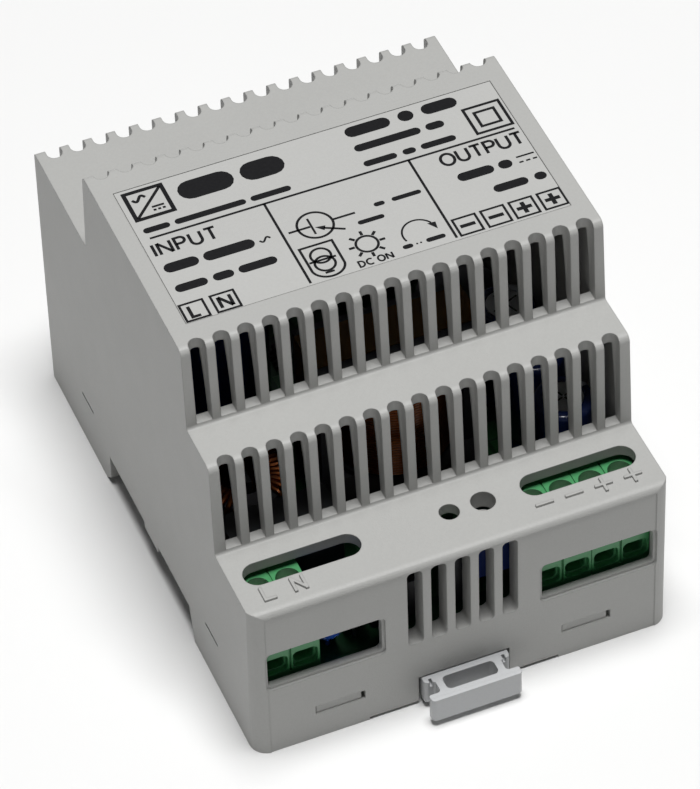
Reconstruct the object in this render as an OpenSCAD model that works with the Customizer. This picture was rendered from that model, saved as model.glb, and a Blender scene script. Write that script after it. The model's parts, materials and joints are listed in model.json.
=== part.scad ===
// DIN rail power supply in a four-module stepped housing.
// Frame: the origin is the centre of the rail seat. +Z points out of the label face, -Y towards the
// terminals and the rail latch, +X across the width. The unit lies on its two feet at z = -foot_h.

/* [Housing] */
// Width across the feet
housing_w = 71; // [70:0.5:90]
// Distance from the rail centreline to the front (terminal) wall
front_reach = 46.2; // [46:0.1:60]
// Distance from the rail centreline to the rear wall
rear_reach = 46.5; // [46:0.1:60]
// Height of the label face above the rail seat
label_z = 60; // [58:0.5:72]
// Height of the front and rear shoulders above the rail seat
shoulder_z = 44; // [43:0.5:46]
// Height of the terminal deck above the rail seat
deck_z = 25.6; // [25.6:0.1:27]
// Depth of the feet below the rail seat
foot_h = 6.4; // [6.4:0.1:8]
// Thickness of the side, front and rear walls
wall = 1.8; // [1.5:0.1:2.2]
// Thickness of the roof and the decks
roof = 2; // [1.6:0.1:2.4]
// Inward lean of each side wall per millimetre of height
side_draft = 0.0095; // [0:0.0005:0.012]
// Radius of the front upright corners
corner_r = 3; // [2:0.1:4]
// Radius of the long edges of the steps
edge_r = 1.2; // [0.6:0.1:1.4]
// Gap between the base and the cover all round
shell_gap = 0.2; // [0.1:0.05:0.4]

/* [Vents] */
// Number of slots in each row
vent_count = 17; // [9:2:17]
// Distance between slot centres
vent_pitch = 4; // [3.6:0.1:4.1]
// Width of a slot
vent_w = 2.6; // [1.6:0.1:2.8]
// How far a slot runs in from the face of its step
vent_depth = 2.8; // [2.6:0.1:3.4]
// Number of upright slots in the front wall
front_vent_count = 5; // [3:2:5]
// Top of the front-wall slots below the terminal deck
front_vent_drop = 1.4; // [1.4:0.1:4]

/* [Terminals] */
// Distance between terminal poles
pole_pitch = 5; // [5:0.01:5.08]
// Distance of the terminal screws behind the front wall
screw_setback = 8.8; // [8.6:0.1:9.4]
// Height of the terminal blocks above the circuit board
block_h = 15.3; // [15:0.1:16]
// Diameter of the screw heads
screw_head_d = 3.6; // [3.2:0.1:3.6]
// Diameter of the screw thread
screw_d = 2.5; // [2.3:0.1:2.6]
// Radial running clearance of the screws
screw_fit = 0.05; // [0.02:0.01:0.1]
// Rise of a clamp cage from open to shut
cage_rise = 2.4; // [1.5:0.1:2.4]

/* [Controls] */
// Sideways place of the status light
led_x = 1.4; // [0:0.1:2]
// Diameter of the status light
led_d = 3; // [2:0.1:3]
// Sideways place of the output trimmer
trimmer_x = 7.1; // [6.6:0.1:8]
// Diameter of the trimmer's adjusting spindle
spindle_d = 3.4; // [2.8:0.1:3.5]

/* [Rail and latch] */
// Width of the mounting rail
rail_w = 35; // [35:0.1:36]
// Thickness of the rail's flanges
flange_t = 1; // [1:0.1:1.5]
// Free play of the rail in the recess, each side
rail_gap = 0.5; // [0.2:0.1:0.8]
// Overlap of the hooks and the latch nose on the flanges
hook_grip = 1.4; // [1:0.1:1.6]
// Width of the latch
latch_w = 14.6; // [12:0.1:16]
// Thickness of the latch
latch_t = 4.5; // [4:0.1:4.8]
// Sliding clearance round the latch
latch_fit = 0.3; // [0.2:0.05:0.4]
// Travel of the latch from locked to released
latch_travel = 3.5; // [2:0.1:4]

/* [Circuit board] */
// Thickness of the circuit board
board_t = 1.6; // [1.2:0.1:2]
// Height of the board's underside above the rail seat
board_z = 5.4; // [5:0.1:5.6]
// Gap between the board and the cover at the sides
board_gap = 0.8; // [0.4:0.1:1]
// Diameter of the component leads
lead_d = 0.8; // [0.6:0.1:1]

/* [Power parts] */
// Diameter of the bulk capacitor
bulk_d = 18; // [16:0.5:18]
// Height of the bulk capacitor
bulk_h = 33; // [25:0.5:34]
// Diameter of the output capacitors
out_cap_d = 10; // [8:0.5:10]
// Height of the output capacitors
out_cap_h = 20; // [16:0.5:25]
// Width of the transformer core
core_w = 28; // [26:0.5:30]
// Height of the transformer core
core_h = 30; // [26:0.5:32]

/* [Hidden] */
$fn = 48;
eps = 0.01;
past = 1;

// Housing outline
housing_l = front_reach + rear_reach;
face_back = 22.4;
face_front = -21.7;
shoulder_front = -31.6;
step_lean = 0.8;
rear_r = 1;
function half_w(z) = housing_w / 2 - side_draft * (z + foot_h);

// Label
label_half_w = housing_w / 2 - 3.6;
label_back = 15.8;
label_front = -15.6;
label_recess = 0.3;
label_t = 0.25;
label_gap = 0.1;

// Vents
vent_x0 = -(vent_count - 1) / 2 * vent_pitch;
vent_lift = 0.6;
vent_land = 1.7;
rear_vent_z = shoulder_z - 17;
front_vent_x0 = -(front_vent_count - 1) / 2 * vent_pitch;
front_vent_z = 7.8;

// Windows and deck openings
window_w = 20;
window_h = 8.3;
window_z = 7.9;
window_r = 0.9;
window_rim = 0.45;
window_edge = 2.4;
window_x = housing_w / 2 - window_edge - window_w / 2;
deck_slot_l = 19.4;
deck_slot_w = 4.7;
deck_slot_back = 0.3;
deck_slot_edge = 2.6;
deck_slot_x = housing_w / 2 - deck_slot_edge - deck_slot_l / 2;
panel_inset = 0.15;
mark_t = 0.4;
mark_line = 0.5;
mark_size = 3;
relief_half_w = 16.2;
relief_h = 0.6;
snap_w = 8.4;
snap_h = 1.8;
snap_x = 21;
snap_gap = 0.15;
snap_end_gap = 0.6;
snap_fit = 0.05;
snap_top_gap = 0.2;
snap_sink = 0.4;
slit_l = 5.3;
slit_h = 0.5;
slit_z = 3.9;
slit_rear_y = 27.7;
slit_front_y = -28;

// Rail recess
recess_back = rail_w / 2 + rail_gap;
recess_front = -rail_w / 2 - rail_gap + 0.1;
recess_slope = 1.8;
cover_lift = 0.4;
foot_chamfer = 2.2;
tab_w = 6.4;
tab_h = 1.3;
tab_y = -1;

// Base
base_t = 1.6;
seat_t = 1.8;
seat_relief = 0.3;
seat_half = rail_w / 2 - hook_grip - 0.3;
rim_t = 1.4;
rim_z = 4.6;
base_half_w = half_w(0) - wall - shell_gap - 0.1;
base_front = -front_reach + wall + shell_gap;
base_back = rear_reach - wall - shell_gap;
hook_gap = 0.3;
hook_t = 1.6;
hook_x = 19;
hook_w = 12;
post_d = 4.4;
peg_d = 1.9;
peg_gap = 0.15;

// Latch
latch_top = -0.6;
latch_bottom = latch_top - latch_t;
tongue = 1;
tongue_t = 1.4;
tongue_z = latch_top - latch_t / 2 - tongue_t / 2;
nose_y = -rail_w / 2 + hook_grip - 0.1;
nose_top = -flange_t - hook_gap;
channel_half_w = latch_w / 2 + latch_fit;
channel_wall = 3;
channel_roof = 1.3;
latch_head_y = -front_reach - 5.4;
latch_head_t = 1.7;
latch_bar_t = 1;
latch_slot_half_w = 4.4;
neck_w = 1.2;
ear_notch = 0.5;
groove_end = 0.4;
ear_inset = 1.3;
ear_h = 1;
head_over = 0.4;
body_gap = 0.3;
nose_gap = 0.6;
slot_end = 0.9;
ear_end = 0.5;
nose_lip = 0.9;
tongue_gap = 0.1;
lip_t = 0.8;
lip_r = 0.6;
lip_h = 0.2;
spring_stop_y = -front_reach + 9.2;
spring_stop_t = 2.4;
spring_d = 3.4;
spring_wire = 0.5;
spring_l = 10.4;
spring_turns = 7;
spring_room = 0.1;
spring_window_half_w = 2.6;

// Circuit board
board_top = board_z + board_t;
board_half_w = half_w(board_top) - wall - board_gap;
board_front = -front_reach + wall + board_gap;
board_back = rear_reach - wall - board_gap;
lead_gap = 0.1;
lead_end = board_z - 1.4;
sit = 0.2;
peg_x = board_half_w - 2;
peg_front_y = -31.6;
peg_back_y = board_back - 3;

// Terminals
block_gap = 0.1;
block_w = 2 * pole_pitch - block_gap;
block_front = -front_reach + wall + 0.9;
screw_y = -front_reach + screw_setback;
block_back = screw_y + 4.4;
block_side_gap = 0.7;
block_top = board_top + block_h;
block_edge_x = housing_w / 2 - wall - block_side_gap;
out_block_2_x = block_edge_x - block_w / 2;
out_block_1_x = out_block_2_x - 2 * pole_pitch;
in_block_x = -out_block_2_x;
head_h = 1.8;
head_gap = 0.15;
head_z = block_top - 4.5;
shelf_t = 0.7;
cage_w = 4;
cage_l = 4.6;
cage_h = 6.4;
cage_t = 1.2;
cage_side = 0.6;
cage_gap = 0.15;
cage_top = head_z - shelf_t - head_gap - cage_rise - 0.15;
cage_bottom = cage_top - cage_h;
bar_t = 0.8;
bar_w = 2.2;
bar_top = cage_top - cage_t - 0.15;
leg_t = 0.8;
leg_w = 1;
leg_y = screw_y + cage_l / 2 + 0.4 + leg_t / 2;
entry_w = 3.4;
entry_h = 2.8;
mouth_w = 4.2;
mouth_rise = 0.35;
mouth_t = 0.9;
entry_z = cage_bottom + cage_t - 0.4;

// Controls
control_y = screw_y - 0.3;
led_hole_d = led_d + 0.3;
spindle_hole_d = spindle_d + 0.6;
led_spacer_d = led_d + 1.4;
led_spacer_h = 11.6;
led_top = deck_z - roof - 0.4;
guide_l = 1.4;
guide_t = 1.1;
spindle_top = deck_z - roof - guide_l - 0.3;
trimmer_w = 6.6;
trimmer_h = 7;
trimmer_z = 12.2;
spindle_fit = 0.05;
control_t = 1.2;
control_board_y = control_y + trimmer_w / 2 + sit;
control_board_h = 14.5;

// Input side
disc_lift = 0.8;
varistor_d = 11.5;
varistor_t = 3.6;
varistor_x = in_block_x + block_w / 2 + 2.7;
varistor_y = block_front + varistor_d / 2 + 0.6;
limiter_d = 8.5;
limiter_t = 3.6;
limiter_x = varistor_x + 4.6;
fuse_w = 8.4;
fuse_l = 4;
fuse_h = 7.7;
fuse_x = limiter_x + 7;
fuse_y = control_y;
x_cap_w = 18;
x_cap_l = 8.4;
x_cap_h = 15;
x_cap_x = -board_half_w + 2 + x_cap_w / 2;
x_cap_y = -25.2;
choke_x = -board_half_w + 10.4;
choke_y = -9.5;
choke_r = 7.5;
choke_hole_r = 4.5;
choke_ring_h = 7;
choke_wire = 1;
choke_angle = 140;
choke_seat_w = 18;
choke_seat_h = 1.8;
bridge_t = 3.4;
bridge_w = 20;
bridge_h = 15;
bridge_x = -board_half_w + 2.4;
bridge_y = 14;
bulk_x = bridge_x + bridge_t / 2 + 1.4 + bulk_d / 2;
bulk_y = 12.4;

// Heatsinks, transistor and diode
sink_w = 22;
sink_t = 2;
sink_h = 29;
sink_y = 32;
sink_x = peg_x - peg_d / 2 - 1.2 - sink_w / 2;
fin_l = 7;
fin_count = 5;
pad_t = 0.3;
tab_body_w = 10;
tab_body_h = 9;
tab_body_t = 4.4;
tab_t = 1.3;
tab_h_full = 15.4;
tab_z = board_top + 4;
tab_hole_z = tab_z + tab_body_h + 3;
tab_hole_d = 3.6;
sink_screw_d = 2.9;
sink_screw_l = pad_t + tab_t + sink_t - 0.2;

// Transformer
transformer_x = 3;
transformer_y = -10;
core_l = 11;
core_z = board_top + 3;
core_yoke = 5;
core_leg = 3.5;
core_post_d = 10;
core_tape_w = 8;
core_tape_t = 0.15;
bobbin_gap = 0.2;
bobbin_t = 1;
bobbin_r = core_w / 2 - core_leg - 0.3;
winding_r = bobbin_r - 0.3;
rail_l = 5;
pin_pitch = 5;
pin_count = 5;

// Output side
out_cap_x = board_half_w - 0.6 - out_cap_d / 2;
out_cap_y = [-23.4, -12, -0.6];
drum_r = 7;
drum_h = 11.6;
drum_flange = 1.8;
drum_post_r = 3.5;
drum_x = board_half_w - 1 - drum_r;
drum_y = 13;
opto_x = 6;
opto_y = 20;
chip_x = -2.4;
chip_y = 21;
y_cap_x = 3;
y_cap_y = 8.6;
y_cap_d = 8;
y_cap_t = 4;

// Places of the leads, as lists of [x, y]
function pair_along_x(x, y, pitch) = [[x - pitch / 2, y], [x + pitch / 2, y]];
function pair_along_y(x, y, pitch) = [[x, y - pitch / 2], [x, y + pitch / 2]];
function row_along_x(x, y, pitch, n) = [for (i = [0:n - 1]) [x + (i - (n - 1) / 2) * pitch, y]];
function row_along_y(x, y, pitch, n) = [for (i = [0:n - 1]) [x, y + (i - (n - 1) / 2) * pitch]];
led_leads = pair_along_x(led_x, control_y, 2);
control_leads = row_along_x((led_x + trimmer_x) / 2, control_board_y + control_t / 2, 2.5, 5);
varistor_leads = pair_along_y(varistor_x, varistor_y, 5);
limiter_leads = pair_along_y(limiter_x, varistor_y, 5);
fuse_leads = pair_along_x(fuse_x, fuse_y, 5);
x_cap_leads = pair_along_x(x_cap_x, x_cap_y, 15);
choke_leads = concat(pair_along_x(choke_x, choke_y - 7.6, 7), pair_along_x(choke_x, choke_y + 7.6, 7));
bridge_leads = row_along_y(bridge_x, bridge_y, 5, 4);
bulk_leads = pair_along_x(bulk_x, bulk_y, 7.5);
function tab_leads(x) = row_along_x(x, sink_y - pad_t - 2.4, 2.54, 3);
transformer_leads = concat(
    row_along_x(transformer_x, transformer_y - core_l / 2 - rail_l / 2 - 0.7, pin_pitch, pin_count),
    row_along_x(transformer_x, transformer_y + core_l / 2 + rail_l / 2 + 0.7, pin_pitch, pin_count));
function out_cap_leads(i) = pair_along_y(out_cap_x, out_cap_y[i], 5);
drum_leads = pair_along_y(drum_x, drum_y, 10);
opto_leads = concat(pair_along_y(opto_x - 1.27, opto_y, 7.6), pair_along_y(opto_x + 1.27, opto_y, 7.6));
y_cap_leads = pair_along_x(y_cap_x, y_cap_y, 5);
all_leads = concat(led_leads, control_leads, varistor_leads, limiter_leads, fuse_leads, x_cap_leads,
    choke_leads, bridge_leads, bulk_leads, tab_leads(-sink_x), tab_leads(sink_x), transformer_leads,
    out_cap_leads(0), out_cap_leads(1), out_cap_leads(2), drum_leads, opto_leads, y_cap_leads);
function poles(block_x) = [block_x - pole_pitch / 2, block_x + pole_pitch / 2];
all_poles = concat(poles(in_block_x), poles(out_block_1_x), poles(out_block_2_x));
pegs = [[-peg_x, peg_front_y], [peg_x, peg_front_y], [-peg_x, peg_back_y], [peg_x, peg_back_y]];

// Outline with corner i rounded to radii[i]
function unit(v) = v / norm(v);
function corner(a, b, c, r, n) =
    let (u = unit(a - b), v = unit(c - b), half = acos(u * v) / 2)
    let (mid = b + unit(u + v) * r / sin(half), from = b + u * r / tan(half) - mid)
    let (to = b + v * r / tan(half) - mid, a0 = atan2(from[1], from[0]), a1 = atan2(to[1], to[0]))
    let (turn = (a1 - a0 + 540) % 360 - 180)
    [for (i = [0:n]) mid + r * [cos(a0 + turn * i / n), sin(a0 + turn * i / n)]];
function rounded(pts, radii, n = 5) =
    let (m = len(pts))
    [for (i = [0:m - 1]) each radii[i] == 0 ? [pts[i]] :
        corner(pts[(i + m - 1) % m], pts[i], pts[(i + 1) % m], radii[i], n)];
function rect(x0, y0, x1, y1) = [[x0, y0], [x1, y0], [x1, y1], [x0, y1]];

// Outline in the YZ plane, extruded along X about x = 0
module across(pts, w) {
    rotate([90, 0, 90]) translate([0, 0, -w / 2]) linear_extrude(w) polygon(pts);
}

// Outline in the XZ plane, extruded along Y from y0 to y1
module along(pts, y0, y1) {
    translate([0, y1, 0]) rotate([90, 0, 0]) linear_extrude(y1 - y0) polygon(pts);
}

// Block between two corners
module block(a, b) {
    translate(a) cube(b - a);
}

// Upright cylinder from z0 to z1 at [x, y]
module rod(at, d, z0, z1) {
    translate([at[0], at[1], z0]) cylinder(d = d, h = z1 - z0);
}

module leads(places, z1, d = lead_d) {
    for (p = places) rod(p, d, lead_end, z1);
}

// Bodies of the cover, grown inwards by a wall t and a roof s
function step_profile(t, s, bottom) = [
    [rear_reach - t, bottom],
    [rear_reach - t, shoulder_z - s],
    [face_back - t, shoulder_z - s],
    [face_back - step_lean - t, label_z - s],
    [face_front + step_lean + t, label_z - s],
    [face_front + t, shoulder_z - s],
    [shoulder_front + step_lean + t, shoulder_z - s],
    [shoulder_front + t, deck_z - s],
    [-front_reach + t, deck_z - s],
    [-front_reach + t, bottom]];
function side_profile(t, z0, z1) = [
    [-half_w(z0) + t, z0], [half_w(z0) - t, z0], [half_w(z1) - t, z1], [-half_w(z1) + t, z1]];

module stepped_body(t, s, bottom, radii) {
    r = max(corner_r - t, 0.4);
    intersection() {
        across(rounded(step_profile(t, s, bottom), radii), 2 * housing_w);
        along(side_profile(t, bottom, label_z + past), -2 * housing_l, 2 * housing_l);
        translate([0, 0, bottom - past]) linear_extrude(label_z - bottom + 2 * past)
            polygon(rounded(rect(-housing_w / 2 + t, -front_reach + t, housing_w / 2 - t, rear_reach - t),
                [r, r, max(rear_r - t, 0.4), max(rear_r - t, 0.4)], 8));
    }
}

// Everything that the rail recess and the foot chamfers take out of the side walls
recess_cut = [
    [recess_front - recess_slope, -foot_h], [recess_front, cover_lift],
    [tab_y - tab_w / 2, cover_lift], [tab_y - tab_w / 2 + 0.3, cover_lift - tab_h],
    [tab_y + tab_w / 2 - 0.3, cover_lift - tab_h], [tab_y + tab_w / 2, cover_lift],
    [recess_back, cover_lift], [recess_back, -foot_h + foot_chamfer - 0.4],
    [recess_back + foot_chamfer, -foot_h], [recess_back + foot_chamfer, -foot_h - past],
    [recess_front - recess_slope, -foot_h - past]];

// One row of slots: face is the outer y of the step wall, inward is +1 or -1
module vent_row(face, inward, z0, z1) {
    r = vent_w / 2;
    for (i = [0:vent_count - 1]) {
        translate([vent_x0 + i * vent_pitch, 0, z0]) linear_extrude(z1 - z0) {
            translate([0, face + inward * (vent_depth - r)]) circle(d = vent_w);
            translate([-r, min(face - inward * 2, face + inward * (vent_depth - r))])
                square([vent_w, vent_depth - r + 2]);
        }
    }
}

module deck_slot() {
    half = (deck_slot_l - deck_slot_w) / 2;
    translate([0, screw_y - deck_slot_back, deck_z - roof - past]) linear_extrude(roof + 2 * past) {
        for (s = [-1, 1]) translate([s * half, 0]) circle(d = deck_slot_w);
        square([2 * half, deck_slot_w], center = true);
    }
}

module wire_window() {
    w = window_w / 2;
    rim = window_rim;
    y0 = -front_reach - past;
    along(rounded(rect(-w + rim, window_z + rim, w - rim, window_z + window_h - rim),
        [1, 1, 1, 1] * window_r), y0, -front_reach + wall + past);
    along(rounded(rect(-w, window_z, w, window_z + window_h), [1, 1, 1, 1] * window_r),
        y0, -front_reach + panel_inset + rim);
}

module front_vents() {
    z1 = deck_z - front_vent_drop;
    r = 0.8;
    for (i = [0:front_vent_count - 1]) {
        x = front_vent_x0 + i * vent_pitch;
        along(rounded(rect(x - vent_w / 2, front_vent_z, x + vent_w / 2, z1), [1, 1, 1, 1] * r),
            -front_reach - past, -front_reach + wall + vent_land + past);
    }
}

// Thicker wall behind the front slots
module front_land() {
    half = (front_vent_count - 1) / 2 * vent_pitch + vent_w / 2 + 0.9;
    block([-half, -front_reach + wall - eps, board_top + 0.3],
        [half, -front_reach + wall + vent_land, deck_z - roof + eps]);
}

// Marks in front of the deck slots: L, N, minus and plus
module stroke(a, b) {
    d = b - a;
    translate(a) rotate(atan2(d[1], d[0])) translate([0, -mark_line / 2]) square([norm(d), mark_line]);
}
module mark_l() {
    stroke([-0.9, mark_size / 2], [-0.9, -mark_size / 2]);
    stroke([-0.9 - mark_line / 2, -mark_size / 2 + mark_line / 2], [0.9, -mark_size / 2 + mark_line / 2]);
}
module mark_n() {
    stroke([-0.9, -mark_size / 2], [-0.9, mark_size / 2]);
    stroke([0.9, -mark_size / 2], [0.9, mark_size / 2]);
    stroke([-0.9, mark_size / 2 - 0.2], [0.9, -mark_size / 2 + 0.2]);
}
module mark_minus() {
    stroke([-mark_size / 2, 0], [mark_size / 2, 0]);
}
module mark_plus() {
    mark_minus();
    stroke([0, -mark_size / 2], [0, mark_size / 2]);
}
module deck_marks() {
    y = -front_reach + 4;
    translate([0, y, deck_z - eps]) linear_extrude(mark_t + eps) {
        translate([poles(in_block_x)[0], 0]) mark_l();
        translate([poles(in_block_x)[1], 0]) mark_n();
        for (x = poles(out_block_1_x)) translate([x, 0]) mark_minus();
        for (x = poles(out_block_2_x)) translate([x, 0]) mark_plus();
    }
}

module cover() {
    outer_r = [0, rear_r, edge_r / 2, edge_r, edge_r, edge_r / 2, edge_r, edge_r / 2, edge_r, 0];
    inner_r = [0, 0, 0, 0, 0, 0, 0, 0, 0, 0];
    latch_half = channel_half_w + 0.15;
    color("silver") union() {
        difference() {
            stepped_body(0, 0, -foot_h, outer_r);
            difference() {
                stepped_body(wall, roof, -foot_h - past, inner_r);
                front_land();
                rod([trimmer_x, control_y], spindle_hole_d + 2 * guide_t, deck_z - roof - guide_l, deck_z);
            }
            across(recess_cut, 2 * housing_w);
            vent_row(face_front, 1, shoulder_z + vent_lift, label_z + past);
            vent_row(shoulder_front, 1, deck_z + vent_lift, shoulder_z + past);
            vent_row(face_back, -1, shoulder_z + vent_lift, label_z + past);
            vent_row(rear_reach, -1, rear_vent_z, shoulder_z + past);
            block([-label_half_w, label_front, label_z - label_recess],
                [label_half_w, label_back, label_z + past]);
            for (s = [-1, 1]) translate([s * window_x, 0, 0]) wire_window();
            for (s = [-1, 1]) translate([s * deck_slot_x, 0, 0]) deck_slot();
            front_vents();
            rod([led_x, control_y], led_hole_d, deck_z - roof - past, deck_z + past);
            rod([trimmer_x, control_y], spindle_hole_d, deck_z - roof - guide_l - past, deck_z + past);
            // shallow front panel
            block([-housing_w / 2 + corner_r - 0.4, -front_reach - past, -foot_h - past],
                [housing_w / 2 - corner_r + 0.4, -front_reach + panel_inset, deck_z - edge_r]);
            // opening for the latch and relief along the bottom edge
            block([-latch_half, -front_reach - past, -foot_h - past],
                [latch_half, -front_reach + wall + past, latch_top + latch_fit]);
            block([-relief_half_w, -front_reach - past, -foot_h - past],
                [relief_half_w, -front_reach + wall + past, -foot_h + relief_h]);
            for (y = [-front_reach - past, rear_reach - wall - past])
                for (x = [-snap_x, snap_x])
                    block([x - snap_w / 2, y, -snap_h / 2], [x + snap_w / 2, y + wall + 2 * past, snap_h / 2]);
            for (y = [slit_front_y, slit_rear_y])
                block([-housing_w, y - slit_l / 2, slit_z - slit_h / 2],
                    [housing_w, y + slit_l / 2, slit_z + slit_h / 2]);
        }
        deck_marks();
    }
}

// Underside of the base, from the front rim to the rear rim
base_under = [
    [base_front, -foot_h], [recess_front - recess_slope, -foot_h], [recess_front, seat_relief],
    [-seat_half, seat_relief], [-seat_half, 0], [seat_half, 0], [seat_half, seat_relief],
    [recess_back, seat_relief], [recess_back, -foot_h + foot_chamfer - 0.4],
    [recess_back + foot_chamfer, -foot_h], [base_back, -foot_h]];
base_over = [
    [base_back, -foot_h + base_t], [recess_back + foot_chamfer + 0.6, -foot_h + base_t],
    [recess_back + base_t, -foot_h + foot_chamfer + 0.4], [recess_back + base_t, seat_t],
    [recess_front - base_t, seat_t], [recess_front - recess_slope - base_t + 0.4, -foot_h + base_t],
    [base_front, -foot_h + base_t]];

module base_plan() {
    r = max(corner_r - wall - shell_gap, 0.4);
    translate([0, 0, -foot_h]) linear_extrude(foot_h + rim_z)
        polygon(rounded(rect(-base_half_w, base_front, base_half_w, base_back), [r, r, 0.4, 0.4], 6));
}

module base() {
    w = base_half_w;
    channel = channel_half_w + channel_wall;
    groove = channel_half_w + tongue;
    top = latch_top + latch_fit;
    color("silver") difference() {
        union() {
            intersection() {
                base_plan();
                union() {
                    across(concat(base_under, base_over), 2 * w);
                    for (s = [-1, 1]) translate([s * (w - rim_t / 2), 0, 0])
                        across(concat(base_under, [[base_back, rim_z], [base_front, rim_z]]), rim_t);
                    for (y = [base_front, base_back - rim_t])
                        block([-w, y, -foot_h], [w, y + rim_t, rim_z]);
                }
            }
            // latch channel, its roof and the spring's stop
            difference() {
                block([-channel, base_front, -foot_h], [channel, recess_front - 0.6, top + channel_roof]);
                block([-channel_half_w, base_front - past, -foot_h - past],
                    [channel_half_w, recess_front + past, top]);
                block([-groove, base_front - past, tongue_z - latch_fit],
                    [groove, recess_front - recess_slope - base_t - groove_end, tongue_z + tongue_t + latch_fit]);
            }
            block([-spring_window_half_w + latch_fit, spring_stop_y - spring_stop_t, latch_bottom + 0.4],
                [spring_window_half_w - latch_fit, spring_stop_y, top + eps]);
            // posts and pegs for the circuit board
            for (p = pegs) {
                rod(p, post_d, -foot_h + base_t / 2, board_z);
                rod(p, peg_d, board_z - eps, board_top + 0.8);
            }
            // snap noses in the cover's windows
            for (x = [-snap_x, snap_x]) {
                block([x - snap_w / 2 + snap_gap, -front_reach + snap_sink, -snap_h / 2 + snap_fit],
                    [x + snap_w / 2 - snap_end_gap, base_front + eps, snap_h / 2 - snap_top_gap]);
                block([x - snap_w / 2 + snap_gap, base_back - eps, -snap_h / 2 + snap_fit],
                    [x + snap_w / 2 - snap_end_gap, rear_reach - snap_sink, snap_h / 2 - snap_top_gap]);
            }
            // fixed hooks at the back of the rail recess
            for (x = [-hook_x, hook_x])
                block([x - hook_w / 2, rail_w / 2 - hook_grip, -flange_t - hook_gap - hook_t],
                    [x + hook_w / 2, recess_back + eps, -flange_t - hook_gap]);
        }
        // way through the rims, floor and slope for the latch
        difference() {
            block([-channel_half_w, base_front - past, -foot_h - past], [channel_half_w, recess_front + past, top]);
            block([-spring_window_half_w + latch_fit, spring_stop_y - spring_stop_t, latch_bottom + 0.4],
                [spring_window_half_w - latch_fit, spring_stop_y, top + past]);
        }
        block([-groove, base_front - past, tongue_z - latch_fit],
            [groove, base_front + rim_t + past, tongue_z + tongue_t + latch_fit]);
    }
}

function reversed(list) = [for (i = [len(list) - 1:-1:0]) list[i]];
function mirrored(pts) = [for (p = reversed(pts)) [-p[0], p[1]]];

// The latch: nose, body with the spring window, bar, necks and head with its lip
module rail_latch() {
    w = latch_w / 2;
    wall_y = -front_reach;
    bar_y = wall_y - latch_bar_t - body_gap;
    body_back = recess_front - recess_slope - nose_gap;
    ear_x = w - ear_inset;
    head_back = latch_head_y + latch_head_t;
    head_half_w = w + head_over;
    neck_x = latch_slot_half_w + neck_w;
    half_plan = [[w, wall_y + body_gap + eps], [w, bar_y], [neck_x, bar_y], [neck_x, head_back],
        [head_half_w, head_back], [head_half_w, latch_head_y]];
    plan_r = [0, 0.7, 0.5, 0.6, 0.35, 0.8];
    color("lightgray") difference() {
        union() {
            across([[wall_y + body_gap, latch_bottom], [body_back, latch_bottom], [nose_y, nose_top - nose_lip],
                [nose_y, nose_top], [recess_front - nose_gap, nose_top], [body_back, latch_top],
                [wall_y + body_gap, latch_top]], latch_w);
            block([-w - tongue + latch_fit, wall_y + wall + latch_travel + latch_fit, tongue_z],
                [w + tongue - latch_fit, body_back - base_t - tongue_gap, tongue_z + tongue_t]);
            translate([0, 0, latch_bottom]) linear_extrude(latch_t)
                polygon(rounded(concat(half_plan, mirrored(half_plan)), concat(plan_r, reversed(plan_r)), 6));
            translate([0, 0, latch_top - eps]) linear_extrude(lip_h + eps)
                polygon(rounded(rect(-head_half_w, latch_head_y, head_half_w, latch_head_y + lip_t),
                    [lip_r, lip_r, 0, 0], 6));
        }
        block([-spring_window_half_w, spring_stop_y - spring_stop_t - latch_fit, latch_bottom - past],
            [spring_window_half_w, spring_stop_y + spring_l + 2 * spring_room, latch_top + past]);
        // screwdriver slot, ear notches
        translate([0, 0, latch_bottom - past]) linear_extrude(latch_t + 2 * past)
            polygon(rounded(rect(-latch_slot_half_w, head_back, latch_slot_half_w, wall_y - slot_end),
                [1, 1, 1, 1] * 0.8, 6));
        for (s = [-1, 1])
            block([s * (ear_x + ear_notch / 2) - ear_notch / 2, bar_y - past, latch_top - ear_h],
                [s * (ear_x + ear_notch / 2) + ear_notch / 2, wall_y - ear_end, latch_top + past]);
    }
}

// Wire coil along +Y from y0
function coil_ring(t, sides) =
    let (r = (spring_d - spring_wire) / 2, a = 360 * spring_turns * t)
    let (y = spring_wire / 2 + t * (spring_l - spring_wire))
    [for (k = [0:sides - 1]) let (b = 360 * k / sides, q = r + spring_wire / 2 * cos(b))
        [q * cos(a), y + spring_wire / 2 * sin(b), q * sin(a)]];
module coil(rings, sides) {
    points = [for (i = [0:rings]) each coil_ring(i / rings, sides)];
    skin = [for (i = [0:rings - 1]) for (k = [0:sides - 1]) let (n = (k + 1) % sides)
        [i * sides + k, (i + 1) * sides + k, (i + 1) * sides + n, i * sides + n]];
    lids = [[for (k = [0:sides - 1]) k], [for (k = [sides - 1:-1:0]) rings * sides + k]];
    polyhedron(points, concat(skin, lids));
}
module latch_spring() {
    color("gray") translate([0, spring_stop_y + spring_room, latch_top - latch_t / 2])
        coil(18 * spring_turns, 8);
}

module label_plate() {
    g = label_gap;
    color("gainsboro") block([-label_half_w + g, label_front + g, label_z - label_recess],
        [label_half_w - g, label_back - g, label_z - label_recess + label_t]);
}

module circuit_board() {
    slot = leg_w + 0.3;
    color("darkgreen") difference() {
        block([-board_half_w, board_front, board_z], [board_half_w, board_back, board_top]);
        for (p = all_leads) rod(p, lead_d + 2 * lead_gap, board_z - past, board_top + past);
        for (p = pegs) rod(p, peg_d + 2 * peg_gap, board_z - past, board_top + past);
        for (x = all_poles)
            block([x - slot / 2, leg_y - leg_t / 2 - 0.15, board_z - past],
                [x + slot / 2, leg_y + leg_t / 2 + 0.15, board_top + past]);
    }
}

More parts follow.
